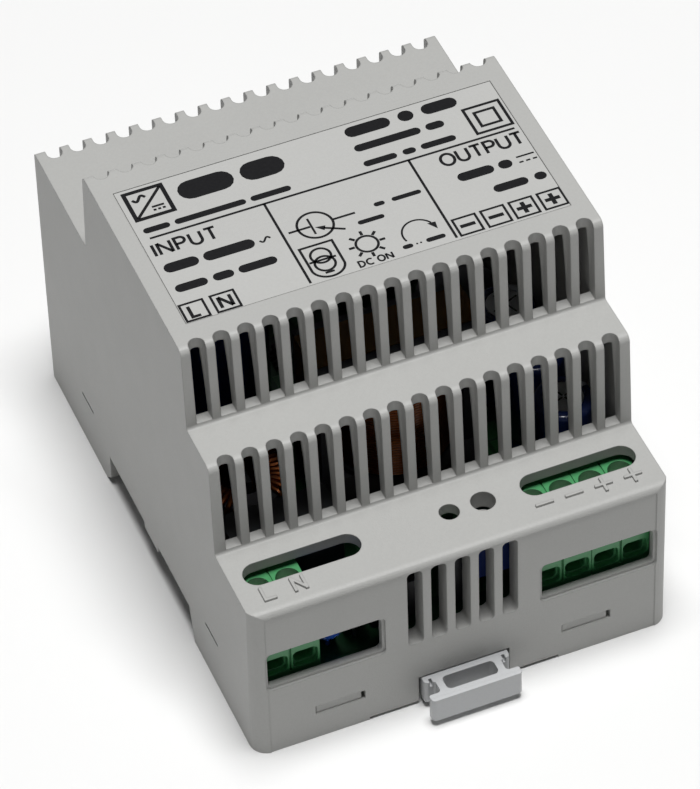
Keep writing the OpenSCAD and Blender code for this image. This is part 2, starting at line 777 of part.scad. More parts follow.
// Two-pole terminal block at block_x
module terminal_block(block_x) {
    w = block_w / 2;
    room = cage_w / 2 + cage_gap;
    color("mediumseagreen") difference() {
        translate([block_x, 0, board_top]) union() {
            across(rounded([[block_front, 0], [block_back, 0], [block_back, block_h],
                [block_front + 1.2, block_h], [block_front, block_h - 2.6]], [0, 0, 0.5, 0.3, 0.5]), block_w);
        }
        for (x = poles(block_x)) {
            rod([x, screw_y], screw_head_d + 2 * head_gap, head_z, block_top + past);
            rod([x, screw_y], screw_d + 2 * head_gap, head_z - shelf_t - past, head_z + past);
            block([x - room, screw_y - cage_l / 2 - cage_gap, cage_bottom - 0.2],
                [x + room, leg_y + leg_t / 2 + 0.1, head_z - shelf_t]);
            block([x - leg_w / 2 - 0.15, leg_y - leg_t / 2 - 0.15, board_top - past],
                [x + leg_w / 2 + 0.15, leg_y + leg_t / 2 + 0.1, cage_bottom]);
            translate([x, 0, 0]) along(rounded(rect(-entry_w / 2, entry_z, entry_w / 2, entry_z + entry_h),
                [1, 1, 1, 1] * 0.8), block_front - past, screw_y - cage_l / 2);
            translate([x, 0, 0]) along(rounded(rect(-mouth_w / 2, entry_z - mouth_rise, mouth_w / 2,
                entry_z + entry_h + mouth_rise), [1, 1, 1, 1] * 0.9), block_front - past, block_front + mouth_t);
        }
        // notch between the poles on the front and top
        block([block_x - 0.2, block_front - past, board_top + 1], [block_x + 0.2, block_front + 0.4, block_top + past]);
        block([block_x - 0.15, block_front - past, block_top - 0.3], [block_x + 0.15, block_back + past, block_top + past]);
    }
}

module clamp_screw(x) {
    color("lightsteelblue") difference() {
        union() {
            rod([x, screw_y], screw_head_d, head_z + 0.05, head_z + 0.05 + head_h);
            rod([x, screw_y], screw_d, bar_top + 0.1, head_z + 0.05 + eps);
        }
        block([x - screw_head_d, screw_y - 0.3, head_z + 0.05 + head_h - 0.8],
            [x + screw_head_d, screw_y + 0.3, head_z + past + head_h]);
    }
}

module clamp_cage(x) {
    w = cage_w / 2;
    color("goldenrod") difference() {
        block([x - w, screw_y - cage_l / 2, cage_bottom], [x + w, screw_y + cage_l / 2, cage_top]);
        block([x - w + cage_side, screw_y - cage_l, cage_bottom + cage_t],
            [x + w - cage_side, screw_y + cage_l, cage_top - cage_t]);
        rod([x, screw_y], screw_d + 2 * screw_fit, cage_top - cage_t - past, cage_top + past);
    }
}

module terminal_contacts() {
    color("silver") for (x = all_poles) {
        block([x - bar_w / 2, screw_y - cage_l / 2 + 0.3, bar_top - bar_t],
            [x + bar_w / 2, leg_y + leg_t / 2, bar_top]);
        block([x - leg_w / 2, leg_y - leg_t / 2, lead_end], [x + leg_w / 2, leg_y + leg_t / 2, bar_top]);
    }
}

module led_spacer() {
    color("dimgray") difference() {
        rod([led_x, control_y], led_spacer_d, board_top, board_top + led_spacer_h);
        for (p = led_leads) rod(p, lead_d + 2 * lead_gap, board_top - past, board_top + led_spacer_h + past);
    }
}

module status_led() {
    z0 = board_top + led_spacer_h;
    color("green") {
        rod([led_x, control_y], led_d + 0.8, z0, z0 + 1);
        rod([led_x, control_y], led_d, z0 + 1 - eps, led_top - led_d / 2);
        translate([led_x, control_y, led_top - led_d / 2]) sphere(d = led_d);
        leads(led_leads, z0 + 0.2);
    }
}

module control_board() {
    x0 = led_x - led_spacer_d / 2 - 1;
    x1 = trimmer_x + trimmer_w / 2 + 1.2;
    y = control_board_y;
    color("seagreen") union() {
        block([x0, y, board_top + sit], [x1, y + control_t, board_top + control_board_h]);
        block([x0 + 2, y + control_t - eps, board_top + 5], [x0 + 7, y + control_t + 1.5, board_top + 9]);
        leads(control_leads, board_top + 1);
    }
}

module trimmer_body() {
    w = trimmer_w / 2;
    c = [trimmer_x, control_y];
    color("royalblue") difference() {
        union() {
            block([c[0] - w, c[1] - w, trimmer_z], [c[0] + w, c[1] + w, trimmer_z + trimmer_h]);
            for (x = [-2.5, 0, 2.5])
                block([c[0] + x - 0.25, c[1] + w - eps, trimmer_z + 2], [c[0] + x + 0.25, c[1] + w + sit, trimmer_z + 2.5]);
        }
        rod(c, spindle_d + 2 * spindle_fit, trimmer_z + 3, trimmer_z + trimmer_h + past);
    }
}

module trimmer_spindle() {
    c = [trimmer_x, control_y];
    cut = 0.7;
    color("whitesmoke") difference() {
        rod(c, spindle_d, trimmer_z + 3.1, spindle_top);
        for (a = [0, 90])
            translate([c[0], c[1], spindle_top]) rotate(a) cube([2.4, cut, 2.4], center = true);
    }
}

// Upright disc component with its axis along X (turn = 0) or along Y (turn = 90)
module disc_part(at, d, t, turn, places) {
    z = board_top + disc_lift + d / 2;
    union() {
        translate([at[0], at[1], z]) rotate([0, 0, turn]) rotate([0, 90, 0])
            rotate_extrude() polygon(rounded([[0, -t / 2], [d / 2, -t / 2], [d / 2, t / 2], [0, t / 2]],
                [0, t / 2.6, t / 2.6, 0], 4));
        leads(places, z - d / 4);
    }
}
module varistor() {
    color("blue") disc_part([varistor_x, varistor_y], varistor_d, varistor_t, 0, varistor_leads);
}
module inrush_limiter() {
    color("darkslategray") disc_part([limiter_x, varistor_y], limiter_d, limiter_t, 0, limiter_leads);
}
module y_capacitor() {
    color("steelblue") disc_part([y_cap_x, y_cap_y], y_cap_d, y_cap_t, 90, y_cap_leads);
}

// Box-shaped component standing on the board
module box_part(at, size, places, r = 0.6) {
    union() {
        translate([at[0], at[1], board_top + sit]) linear_extrude(size[2])
            polygon(rounded(rect(-size[0] / 2, -size[1] / 2, size[0] / 2, size[1] / 2), [1, 1, 1, 1] * r, 3));
        leads(places, board_top + sit + 1);
    }
}
module input_fuse() {
    color("dimgray") box_part([fuse_x, fuse_y], [fuse_w, fuse_l, fuse_h], fuse_leads);
}
module x_capacitor() {
    color("khaki") box_part([x_cap_x, x_cap_y], [x_cap_w, x_cap_l, x_cap_h], x_cap_leads);
}
module bridge_rectifier() {
    z = board_top + 3;
    color("black") union() {
        block([bridge_x - bridge_t / 2, bridge_y - bridge_w / 2, z],
            [bridge_x + bridge_t / 2, bridge_y + bridge_w / 2, z + bridge_h]);
        leads(bridge_leads, z + 1);
    }
}

// Mains choke: ring core, two windings and a moulded seat
choke_z = board_top + choke_seat_h + choke_wire + 0.3;
module choke_core() {
    color("dimgray") difference() {
        rod([choke_x, choke_y], 2 * choke_r, choke_z, choke_z + choke_ring_h);
        rod([choke_x, choke_y], 2 * choke_hole_r, choke_z - past, choke_z + choke_ring_h + past);
    }
}
module choke_windings() {
    g = 0.1;
    color("chocolate") translate([choke_x, choke_y, choke_z]) for (a = [-choke_angle / 2, 180 - choke_angle / 2])
        rotate(a) rotate_extrude(angle = choke_angle) difference() {
            translate([choke_hole_r - g - choke_wire, -g - choke_wire])
                square([choke_r - choke_hole_r + 2 * (g + choke_wire), choke_ring_h + 2 * (g + choke_wire)]);
            translate([choke_hole_r - g, -g]) square([choke_r - choke_hole_r + 2 * g, choke_ring_h + 2 * g]);
        }
}
module choke_seat() {
    h = choke_seat_w / 2;
    color("black") union() {
        block([choke_x - h, choke_y - h, board_top + sit / 2], [choke_x + h, choke_y + h, board_top + choke_seat_h]);
        leads(choke_leads, board_top + 1);
        block([choke_x - 0.6, choke_y - 3, board_top + choke_seat_h - eps],
            [choke_x + 0.6, choke_y + 3, choke_z + choke_ring_h + 1]);
    }
}

// Aluminium can capacitor with a crimped neck
module can_capacitor(at, d, h, places) {
    r = d / 2;
    union() {
        translate([at[0], at[1], board_top + sit]) rotate_extrude() polygon([
            [0, 0], [r - 0.5, 0], [r, 0.5], [r, 2], [r - 0.6, 2.6], [r, 3.2],
            [r, h - 0.6], [r - 0.6, h], [r - 1.2, h], [r - 1.4, h - 0.3], [0, h - 0.3]]);
        leads(places, board_top + sit + 1);
    }
}
module bulk_capacitor() {
    color("midnightblue") can_capacitor([bulk_x, bulk_y], bulk_d, bulk_h, bulk_leads);
}
module output_capacitor(i) {
    color("midnightblue") can_capacitor([out_cap_x, out_cap_y[i]], out_cap_d, out_cap_h, out_cap_leads(i));
}

// Finned plate with one screw hole
module heatsink(x) {
    w = sink_w / 2;
    z0 = board_top + sit;
    color("lightgray") difference() {
        union() {
            block([x - w, sink_y, z0], [x + w, sink_y + sink_t, z0 + sink_h]);
            for (i = [0:fin_count - 1]) {
                fx = x - w + 0.6 + i * (sink_w - 1.2) / (fin_count - 1);
                block([fx - 0.6, sink_y + sink_t - eps, z0], [fx + 0.6, sink_y + sink_t + fin_l, z0 + sink_h]);
            }
        }
        translate([x, sink_y - past, tab_hole_z]) rotate([-90, 0, 0]) cylinder(d = sink_screw_d + 0.1, h = sink_t + 2 * past);
    }
}

// Three-lead package with a metal tab, screwed to the heatsink at x
module tab_package(x) {
    w = tab_body_w / 2;
    y1 = sink_y - pad_t;
    color("black") difference() {
        union() {
            block([x - w, y1 - tab_body_t, tab_z], [x + w, y1, tab_z + tab_body_h]);
            block([x - w, y1 - tab_t, tab_z + tab_body_h - eps], [x + w, y1, tab_z + tab_h_full]);
            leads(tab_leads(x), tab_z + 0.5);
        }
        translate([x, y1 - tab_t - past, tab_hole_z]) rotate([-90, 0, 0]) cylinder(d = tab_hole_d, h = tab_t + 2 * past);
    }
}
module thermal_pads() {
    w = tab_body_w / 2 + 1;
    color("lightpink") for (s = [-1, 1]) difference() {
        block([s * sink_x - w, sink_y - pad_t, tab_z - 1], [s * sink_x + w, sink_y, tab_z + tab_h_full + 1]);
        translate([s * sink_x, sink_y - past, tab_hole_z]) rotate([-90, 0, 0]) cylinder(d = tab_hole_d, h = 2 * past);
    }
}
module heatsink_screws() {
    y0 = sink_y - pad_t - tab_t;
    color("silver") for (s = [-1, 1]) translate([s * sink_x, y0, tab_hole_z]) rotate([-90, 0, 0]) difference() {
        union() {
            translate([0, 0, -2]) cylinder(d = 5.6, h = 2);
            translate([0, 0, -eps]) cylinder(d = sink_screw_d, h = sink_screw_l);
        }
        for (a = [0, 90]) translate([0, 0, -2]) rotate(a) cube([3.4, 0.8, 1.8], center = true);
    }
}

// Transformer: two E cores, bobbin, winding and the tape round the cores
module core_half(upper) {
    mid = core_z + core_h / 2;
    w = core_w / 2;
    translate([transformer_x, transformer_y, mid]) mirror([0, 0, upper ? 1 : 0]) translate([0, 0, -core_h / 2]) {
        block([-w, -core_l / 2, 0], [w, core_l / 2, core_yoke]);
        for (s = [-1, 1])
            block([s * (w - core_leg / 2) - core_leg / 2, -core_l / 2, core_yoke - eps],
                [s * (w - core_leg / 2) + core_leg / 2, core_l / 2, core_h / 2]);
        rod([0, 0], core_post_d, core_yoke - eps, core_h / 2);
    }
}
module transformer_core_lower() {
    color("dimgray") core_half(false);
}
module transformer_core_upper() {
    color("dimgray") core_half(true);
}
module transformer_bobbin() {
    z0 = core_z + core_yoke + bobbin_gap;
    z1 = core_z + core_h - core_yoke - bobbin_gap;
    r = core_post_d / 2 + bobbin_gap;
    at = [transformer_x, transformer_y];
    color("black") difference() {
        union() {
            rod(at, 2 * bobbin_r, z0, z0 + bobbin_t);
            rod(at, 2 * bobbin_r, z1 - bobbin_t, z1);
            rod(at, 2 * (r + bobbin_t), z0, z1);
            for (s = [-1, 1]) {
                y = at[1] + s * (core_l / 2 + rail_l / 2 + 0.7);
                block([at[0] - core_w / 2 + 1.6, y - rail_l / 2, board_top + sit],
                    [at[0] + core_w / 2 - 1.6, y + rail_l / 2, z0 + bobbin_t]);
            }
            leads(transformer_leads, board_top + sit + 2);
        }
        rod(at, 2 * r, z0 - past, z1 + past);
    }
}
module transformer_winding() {
    z0 = core_z + core_yoke + bobbin_gap + bobbin_t + 0.1;
    z1 = core_z + core_h - core_yoke - bobbin_gap - bobbin_t - 0.1;
    at = [transformer_x, transformer_y];
    color("peru") difference() {
        rod(at, 2 * winding_r, z0, z1);
        rod(at, core_post_d + 2 * (bobbin_gap + bobbin_t + 0.1), z0 - past, z1 + past);
    }
}
module transformer_tape() {
    g = 0.05;
    t = core_tape_t + g;
    w = core_w / 2;
    at = [transformer_x, transformer_y, 0];
    color("gold") translate(at) difference() {
        block([-w - t, -core_tape_w / 2, core_z - t], [w + t, core_tape_w / 2, core_z + core_h + t]);
        block([-w - g, -core_tape_w, core_z - g], [w + g, core_tape_w, core_z + core_h + g]);
    }
}

// Output choke: drum core with its winding
module output_choke_core() {
    z0 = board_top + sit;
    at = [drum_x, drum_y];
    color("dimgray") union() {
        rod(at, 2 * drum_r, z0, z0 + drum_flange);
        rod(at, 2 * drum_post_r, z0 + drum_flange - eps, z0 + drum_h - drum_flange + eps);
        rod(at, 2 * drum_r, z0 + drum_h - drum_flange, z0 + drum_h);
        leads(drum_leads, z0 + 1);
    }
}
module output_choke_winding() {
    z0 = board_top + sit + drum_flange + 0.1;
    z1 = board_top + sit + drum_h - drum_flange - 0.1;
    at = [drum_x, drum_y];
    color("peru") difference() {
        rod(at, 2 * drum_r - 1, z0, z1);
        rod(at, 2 * drum_post_r + 0.2, z0 - past, z1 + past);
    }
}

// Small packages
module optocoupler() {
    color("black") box_part([opto_x, opto_y], [4.6, 6.4, 3.5], [], 0.2);
    color("silver") for (p = opto_leads) {
        leads([p], board_top + 2.4, 0.5);
        y0 = opto_y + sign(p[1] - opto_y) * 3.1;
        block([p[0] - 0.25, min(y0, p[1]), board_top + 2], [p[0] + 0.25, max(y0, p[1]), board_top + 2.4]);
    }
}
module control_chip() {
    color("black") union() {
        block([chip_x - 2, chip_y - 2.5, board_top + sit], [chip_x + 2, chip_y + 2.5, board_top + 1.7]);
        for (s = [-1, 1]) for (i = [-1.5:1:1.5])
            block([chip_x + s * 2.45 - 0.55, chip_y + 1.27 * i - 0.2, board_top],
                [chip_x + s * 2.45 + 0.55, chip_y + 1.27 * i + 0.2, board_top + 0.9]);
    }
}

cover();
base();
rail_latch();
latch_spring();
label_plate();
circuit_board();
terminal_block(in_block_x);  // input_terminal_block
terminal_block(out_block_1_x);  // output_terminal_block_1
terminal_block(out_block_2_x);  // output_terminal_block_2
clamp_screw(all_poles[0]);  // screw_l
clamp_screw(all_poles[1]);  // screw_n
clamp_screw(all_poles[2]);  // screw_minus_1
clamp_screw(all_poles[3]);  // screw_minus_2
clamp_screw(all_poles[4]);  // screw_plus_1
clamp_screw(all_poles[5]);  // screw_plus_2
clamp_cage(all_poles[0]);  // cage_l
clamp_cage(all_poles[1]);  // cage_n
clamp_cage(all_poles[2]);  // cage_minus_1
clamp_cage(all_poles[3]);  // cage_minus_2
clamp_cage(all_poles[4]);  // cage_plus_1
clamp_cage(all_poles[5]);  // cage_plus_2
terminal_contacts();
status_led();
led_spacer();
control_board();
trimmer_body();
trimmer_spindle();
varistor();
inrush_limiter();
input_fuse();
x_capacitor();
choke_core();
choke_windings();
choke_seat();
bridge_rectifier();
bulk_capacitor();
heatsink(-sink_x);  // switch_heatsink
tab_package(-sink_x);  // switch_transistor
heatsink(sink_x);  // diode_heatsink
tab_package(sink_x);  // output_diode
thermal_pads();
heatsink_screws();
transformer_core_lower();
transformer_core_upper();
transformer_bobbin();
transformer_winding();
transformer_tape();
output_capacitor(0);  // output_capacitor_1
output_capacitor(1);  // output_capacitor_2
output_capacitor(2);  // output_capacitor_3
output_choke_core();
output_choke_winding();
optocoupler();
control_chip();
y_capacitor();
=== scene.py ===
"""DIN rail power supply: a stepped, vented housing with its rail latch, terminals and circuit.

Sizes in the dataclasses are millimetres in the frame of the CAD model; meshes are written in metres.
"""

from __future__ import annotations

import json
import logging
import math
from dataclasses import dataclass
from enum import Enum
from typing import Optional, Sequence, Union

import bmesh
import bpy
import numpy as np
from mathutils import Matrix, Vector

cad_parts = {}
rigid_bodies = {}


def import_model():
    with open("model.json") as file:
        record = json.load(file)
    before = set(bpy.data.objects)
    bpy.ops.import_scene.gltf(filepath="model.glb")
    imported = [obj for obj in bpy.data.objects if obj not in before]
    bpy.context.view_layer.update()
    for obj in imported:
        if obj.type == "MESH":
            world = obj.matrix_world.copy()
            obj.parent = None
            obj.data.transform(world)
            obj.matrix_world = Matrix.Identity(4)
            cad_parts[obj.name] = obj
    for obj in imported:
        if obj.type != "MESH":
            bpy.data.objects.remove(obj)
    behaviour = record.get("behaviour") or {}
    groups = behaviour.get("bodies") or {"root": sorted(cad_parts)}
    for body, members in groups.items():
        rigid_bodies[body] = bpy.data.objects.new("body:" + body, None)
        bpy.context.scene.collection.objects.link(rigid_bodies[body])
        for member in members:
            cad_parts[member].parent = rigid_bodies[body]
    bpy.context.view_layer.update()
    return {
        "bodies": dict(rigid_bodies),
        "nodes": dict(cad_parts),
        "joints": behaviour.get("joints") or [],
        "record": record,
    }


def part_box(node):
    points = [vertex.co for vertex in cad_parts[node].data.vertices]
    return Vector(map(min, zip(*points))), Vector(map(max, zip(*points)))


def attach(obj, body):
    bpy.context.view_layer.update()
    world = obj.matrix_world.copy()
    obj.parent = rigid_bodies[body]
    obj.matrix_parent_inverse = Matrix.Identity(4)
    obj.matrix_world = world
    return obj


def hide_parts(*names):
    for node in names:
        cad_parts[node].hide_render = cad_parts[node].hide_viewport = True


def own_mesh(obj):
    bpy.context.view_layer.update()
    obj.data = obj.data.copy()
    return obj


LOG = logging.getLogger("rail_power_supply")
MM = 0.001
TAU = 2 * math.pi
STATIC_BODY = "housing"

Colour = tuple[float, float, float]
Feed = Union["Sock", float, Sequence[float]]


# -------- shader tools


class Sock:
    """A shader socket on which arithmetic adds Math nodes."""

    def __init__(self, recipe: "Recipe", socket: bpy.types.NodeSocket) -> None:
        """Keeps the socket and the recipe that it belongs to."""
        self.recipe = recipe
        self.socket = socket

    def __add__(self, other: Feed) -> "Sock":
        """Sum."""
        return self.recipe.math("ADD", self, other)

    def __mul__(self, other: Feed) -> "Sock":
        """Product."""
        return self.recipe.math("MULTIPLY", self, other)

    def __sub__(self, other: Feed) -> "Sock":
        """Difference."""
        return self.recipe.math("SUBTRACT", self, other)

    def __rsub__(self, other: Feed) -> "Sock":
        """Difference from a number."""
        return self.recipe.math("SUBTRACT", other, self)

    __radd__ = __add__
    __rmul__ = __mul__


class Recipe:
    """One material's node tree, from its object coordinates to its shader."""

    def __init__(self, name: str) -> None:
        """Starts an empty material with a Principled shader."""
        self.material = bpy.data.materials.new(name)
        self.material.use_nodes = True
        self.tree = self.material.node_tree
        self.tree.nodes.clear()
        self.shader = self.tree.nodes.new("ShaderNodeBsdfPrincipled")
        output = self.tree.nodes.new("ShaderNodeOutputMaterial")
        self.tree.links.new(self.shader.outputs[0], output.inputs[0])
        self.place = self.node("ShaderNodeTexCoord", out="Object")

    def feed(self, socket: bpy.types.NodeSocket, value: Feed) -> None:
        """Links a Sock to the socket, or sets the socket to a value."""
        if isinstance(value, Sock):
            self.tree.links.new(value.socket, socket)
        else:
            socket.default_value = value

    def node(
        self,
        kind: str,
        settings: Optional[dict] = None,
        inputs: Optional[dict] = None,
        out: Union[int, str] = 0,
    ) -> Sock:
        """Adds a node.

        Args:
            kind: The node's type name.
            settings: Properties that are set first.
            inputs: Values or Socks by input name or number.
            out: The output that is returned.

        Returns:
            The chosen output.
        """
        made = self.tree.nodes.new(kind)
        for key, value in (settings or {}).items():
            setattr(made, key, value)
        for key, value in (inputs or {}).items():
            self.feed(made.inputs[key], value)
        return Sock(self, made.outputs[out])

    def math(self, operation: str, *values: Feed) -> Sock:
        """Adds a Math node of that operation."""
        return self.node("ShaderNodeMath", {"operation": operation}, dict(enumerate(values)))

    def noise(
        self, size_mm: float, detail: float = 2.0, rough: float = 0.5, at: Optional[Sock] = None
    ) -> Sock:
        """Fractal noise from 0 to 1 with features of that size."""
        scale = 1 / (size_mm * MM)
        return self.node(
            "ShaderNodeTexNoise",
            {"noise_dimensions": "3D"},
            {"Vector": at or self.place, "Scale": scale, "Detail": detail, "Roughness": rough},
        )

    def cells(self, size_mm: float) -> Sock:
        """Distance in a Voronoi pattern whose cells have that size."""
        feeds = {"Vector": self.place, "Scale": 1 / (size_mm * MM)}
        return self.node("ShaderNodeTexVoronoi", {"feature": "F1"}, feeds, out="Distance")

    def stretched(self, scale: Sequence[float]) -> Sock:
        """Object coordinates multiplied by one factor for each axis."""
        return self.node("ShaderNodeMapping", inputs={"Vector": self.place, "Scale": scale})

    def axis(self, letter: str, at: Sock) -> Sock:
        """One coordinate of a place."""
        return self.node("ShaderNodeSeparateXYZ", inputs={0: at}, out=letter)

    def span(self, value: Feed, low: float, high: float, start: float = 0.0, end: float = 1.0) -> Sock:
        """Maps low..high smoothly to start..end, and holds it beyond."""
        return self.node(
            "ShaderNodeMapRange",
            {"interpolation_type": "SMOOTHSTEP"},
            {"Value": value, 1: low, 2: high, 3: start, 4: end},
        )

    def blend(self, factor: Feed, first: Union[Sock, Colour], second: Union[Sock, Colour]) -> Sock:
        """Mixes two colours: the first where factor is 0, the second where it is 1."""
        colours = [c if isinstance(c, Sock) else (*c, 1.0) for c in (first, second)]
        feeds = {0: factor, 6: colours[0], 7: colours[1]}
        return self.node("ShaderNodeMix", {"data_type": "RGBA"}, feeds, out=2)


# -------- finishes


@dataclass(frozen=True)
class Finish:
    """A surface finish: a drifting colour, a drifting roughness and a fine grain.

    grain is the height of the texture and edge the radius at which light rounds the edges, both in mm;
    gloss is the strength of its reflection.
    """

    name: str
    colour: Colour
    rough: float = 0.5
    metal: float = 0.0
    coat: float = 0.0
    mottle: float = 0.05
    mottle_mm: float = 7.0
    grain: float = 0.012
    grain_mm: float = 0.3
    drift: float = 0.08
    edge: float = 0.0
    gloss: float = 0.5

    def shade(self, share: float) -> Colour:
        """The finish's colour multiplied by share."""
        red, green, blue = (min(1.0, channel * share) for channel in self.colour)
        return red, green, blue

    def tint(self, recipe: Recipe) -> Sock:
        """Colour that drifts a little either side of the finish's own."""
        drift = recipe.noise(self.mottle_mm, 3.0)
        return recipe.blend(drift, self.shade(1 - self.mottle), self.shade(1 + self.mottle))

    def relief(self, recipe: Recipe) -> Sock:
        """Height of the fine grain, in mm."""
        return recipe.noise(self.grain_mm, 2.0, 0.6) * self.grain

    def polish(self, recipe: Recipe) -> Sock:
        """Roughness, with slow and fine changes."""
        return recipe.noise(self.mottle_mm * 0.4, 3.0) * self.drift + (self.rough - self.drift / 2)

    def dress(self) -> bpy.types.Material:
        """Builds the material."""
        recipe = Recipe(self.name)
        sockets = recipe.shader.inputs
        recipe.feed(sockets["Base Color"], self.tint(recipe))
        recipe.feed(sockets["Roughness"], self.polish(recipe))
        sockets["Metallic"].default_value = self.metal
        sockets["Coat Weight"].default_value = self.coat
        sockets["Specular IOR Level"].default_value = self.gloss
        bump = {"Distance": MM, "Strength": 1.0, "Height": self.relief(recipe)}
        if self.edge:
            bump["Normal"] = recipe.node("ShaderNodeBevel", {"samples": 4}, {"Radius": self.edge * MM})
        recipe.feed(sockets["Normal"], recipe.node("ShaderNodeBump", inputs=bump))
        return recipe.material


@dataclass(frozen=True)
class Moulded(Finish):
    """Moulded plastic with a spark-eroded skin, flow clouding and a few specks of dust."""

    speck_mm: float = 1.1
    speck_share: float = 0.9

    def tint(self, recipe: Recipe) -> Sock:
        """Drifting colour, a little mottled by the grain, with rare darker specks."""
        base = super().tint(recipe)
        fine = recipe.span(recipe.noise(self.grain_mm * 1.5, 2.0), 0.3, 0.7)
        toned = recipe.blend(fine * 0.06, base, self.shade(0.55))
        speck = recipe.span(recipe.cells(self.speck_mm), 0.02, 0.07, 1.0, 0.0)
        rare = recipe.span(recipe.noise(self.speck_mm * 4), 0.62, 0.66)
        return recipe.blend(speck * rare * 0.35, toned, self.shade(self.speck_share * 0.4))

    def relief(self, recipe: Recipe) -> Sock:
        """Pits of the spark-eroded skin over a slow waviness of the wall."""
        pits = recipe.span(recipe.cells(self.grain_mm), 0.0, 0.6) * self.grain
        fine = recipe.noise(self.grain_mm * 0.45, 1.0) * (self.grain * 0.5)
        return pits + fine + recipe.noise(9.0, 1.0) * 0.03


@dataclass(frozen=True)
class Brushed(Finish):
    """Metal with drawn or rolled lines along one axis."""

    along: tuple[float, float, float] = (1.0, 1.0, 0.06)

    def tint(self, recipe: Recipe) -> Sock:
        """Colour with faint lines along the grain."""
        lines = recipe.noise(self.grain_mm, 3.0, at=recipe.stretched(self.along))
        return recipe.blend(lines, self.shade(1 - self.mottle), self.shade(1 + self.mottle))

    def relief(self, recipe: Recipe) -> Sock:
        """Height of the drawn lines."""
        return recipe.noise(self.grain_mm, 2.0, 0.7, recipe.stretched(self.along)) * self.grain

    def polish(self, recipe: Recipe) -> Sock:
        """Roughness that follows the drawn lines."""
        return recipe.noise(self.grain_mm * 2, 2.0, at=recipe.stretched(self.along)) * self.drift + self.rough


@dataclass(frozen=True)
class Dipped(Finish):
    """Dipped or cast epoxy: glossy, with slow sags in its surface."""

    def relief(self, recipe: Recipe) -> Sock:
        """Orange-peel of the coating."""
        return recipe.noise(1.6, 2.0) * 0.05 + recipe.noise(self.grain_mm, 1.0) * self.grain


@dataclass(frozen=True)
class Masked(Finish):
    """Solder mask over copper tracks on a glass-cloth board."""

    track: Colour = (0.02, 0.09, 0.03)
    cloth_mm: float = 0.5
    track_mm: float = 5.2

    def tracks(self, recipe: Recipe) -> Sock:
        """Mask of the copper areas: square-cornered islands between narrow gaps."""
        gaps = recipe.node(
            "ShaderNodeTexVoronoi",
            {"distance": "CHEBYCHEV", "feature": "F1"},
            {"Vector": recipe.stretched((1, 1, 0.0)), "Scale": 1 / (self.track_mm * MM), "Randomness": 0.8},
            out="Distance",
        )
        return recipe.span(gaps, 0.34, 0.37, 1.0, 0.0)

    def tint(self, recipe: Recipe) -> Sock:
        """Paler green over copper, darker over bare laminate."""
        return recipe.blend(self.tracks(recipe), super().tint(recipe), self.track)

    def relief(self, recipe: Recipe) -> Sock:
        """Raised copper under the mask and the weave of the cloth."""
        scale = 0.3 / (self.cloth_mm * MM)
        weave = recipe.node("ShaderNodeTexWave", inputs={"Vector": recipe.place, "Scale": scale})
        return self.tracks(recipe) * 0.05 + weave * 0.006


@dataclass(frozen=True)
class Sleeved(Finish):
    """Shrink sleeve of a capacitor, with a pale stripe at its negative side, on the piece's own UV map."""

    stripe: Colour = (0.55, 0.58, 0.62)
    stripe_from: float = 0.03
    stripe_to: float = 0.17

    def tint(self, recipe: Recipe) -> Sock:
        """Sleeve colour with the stripe and its row of short bars."""
        around, along = (recipe.axis(k, recipe.node("ShaderNodeTexCoord", out="UV")) for k in "XY")
        inside = recipe.span(around, self.stripe_from, self.stripe_from + 0.005) * recipe.span(
            around, self.stripe_to - 0.005, self.stripe_to, 1.0, 0.0
        )
        middle = (self.stripe_from + self.stripe_to) / 2
        bar_wide = recipe.span(recipe.math("ABSOLUTE", around - middle), 0.03, 0.034, 1.0, 0.0)
        bar_tall = recipe.span(recipe.math("PINGPONG", along * 5.0, 0.5), 0.06, 0.075, 1.0, 0.0)
        stripe = recipe.blend(bar_wide * bar_tall, self.stripe, self.shade(1.0))
        return recipe.blend(inside, super().tint(recipe), stripe)


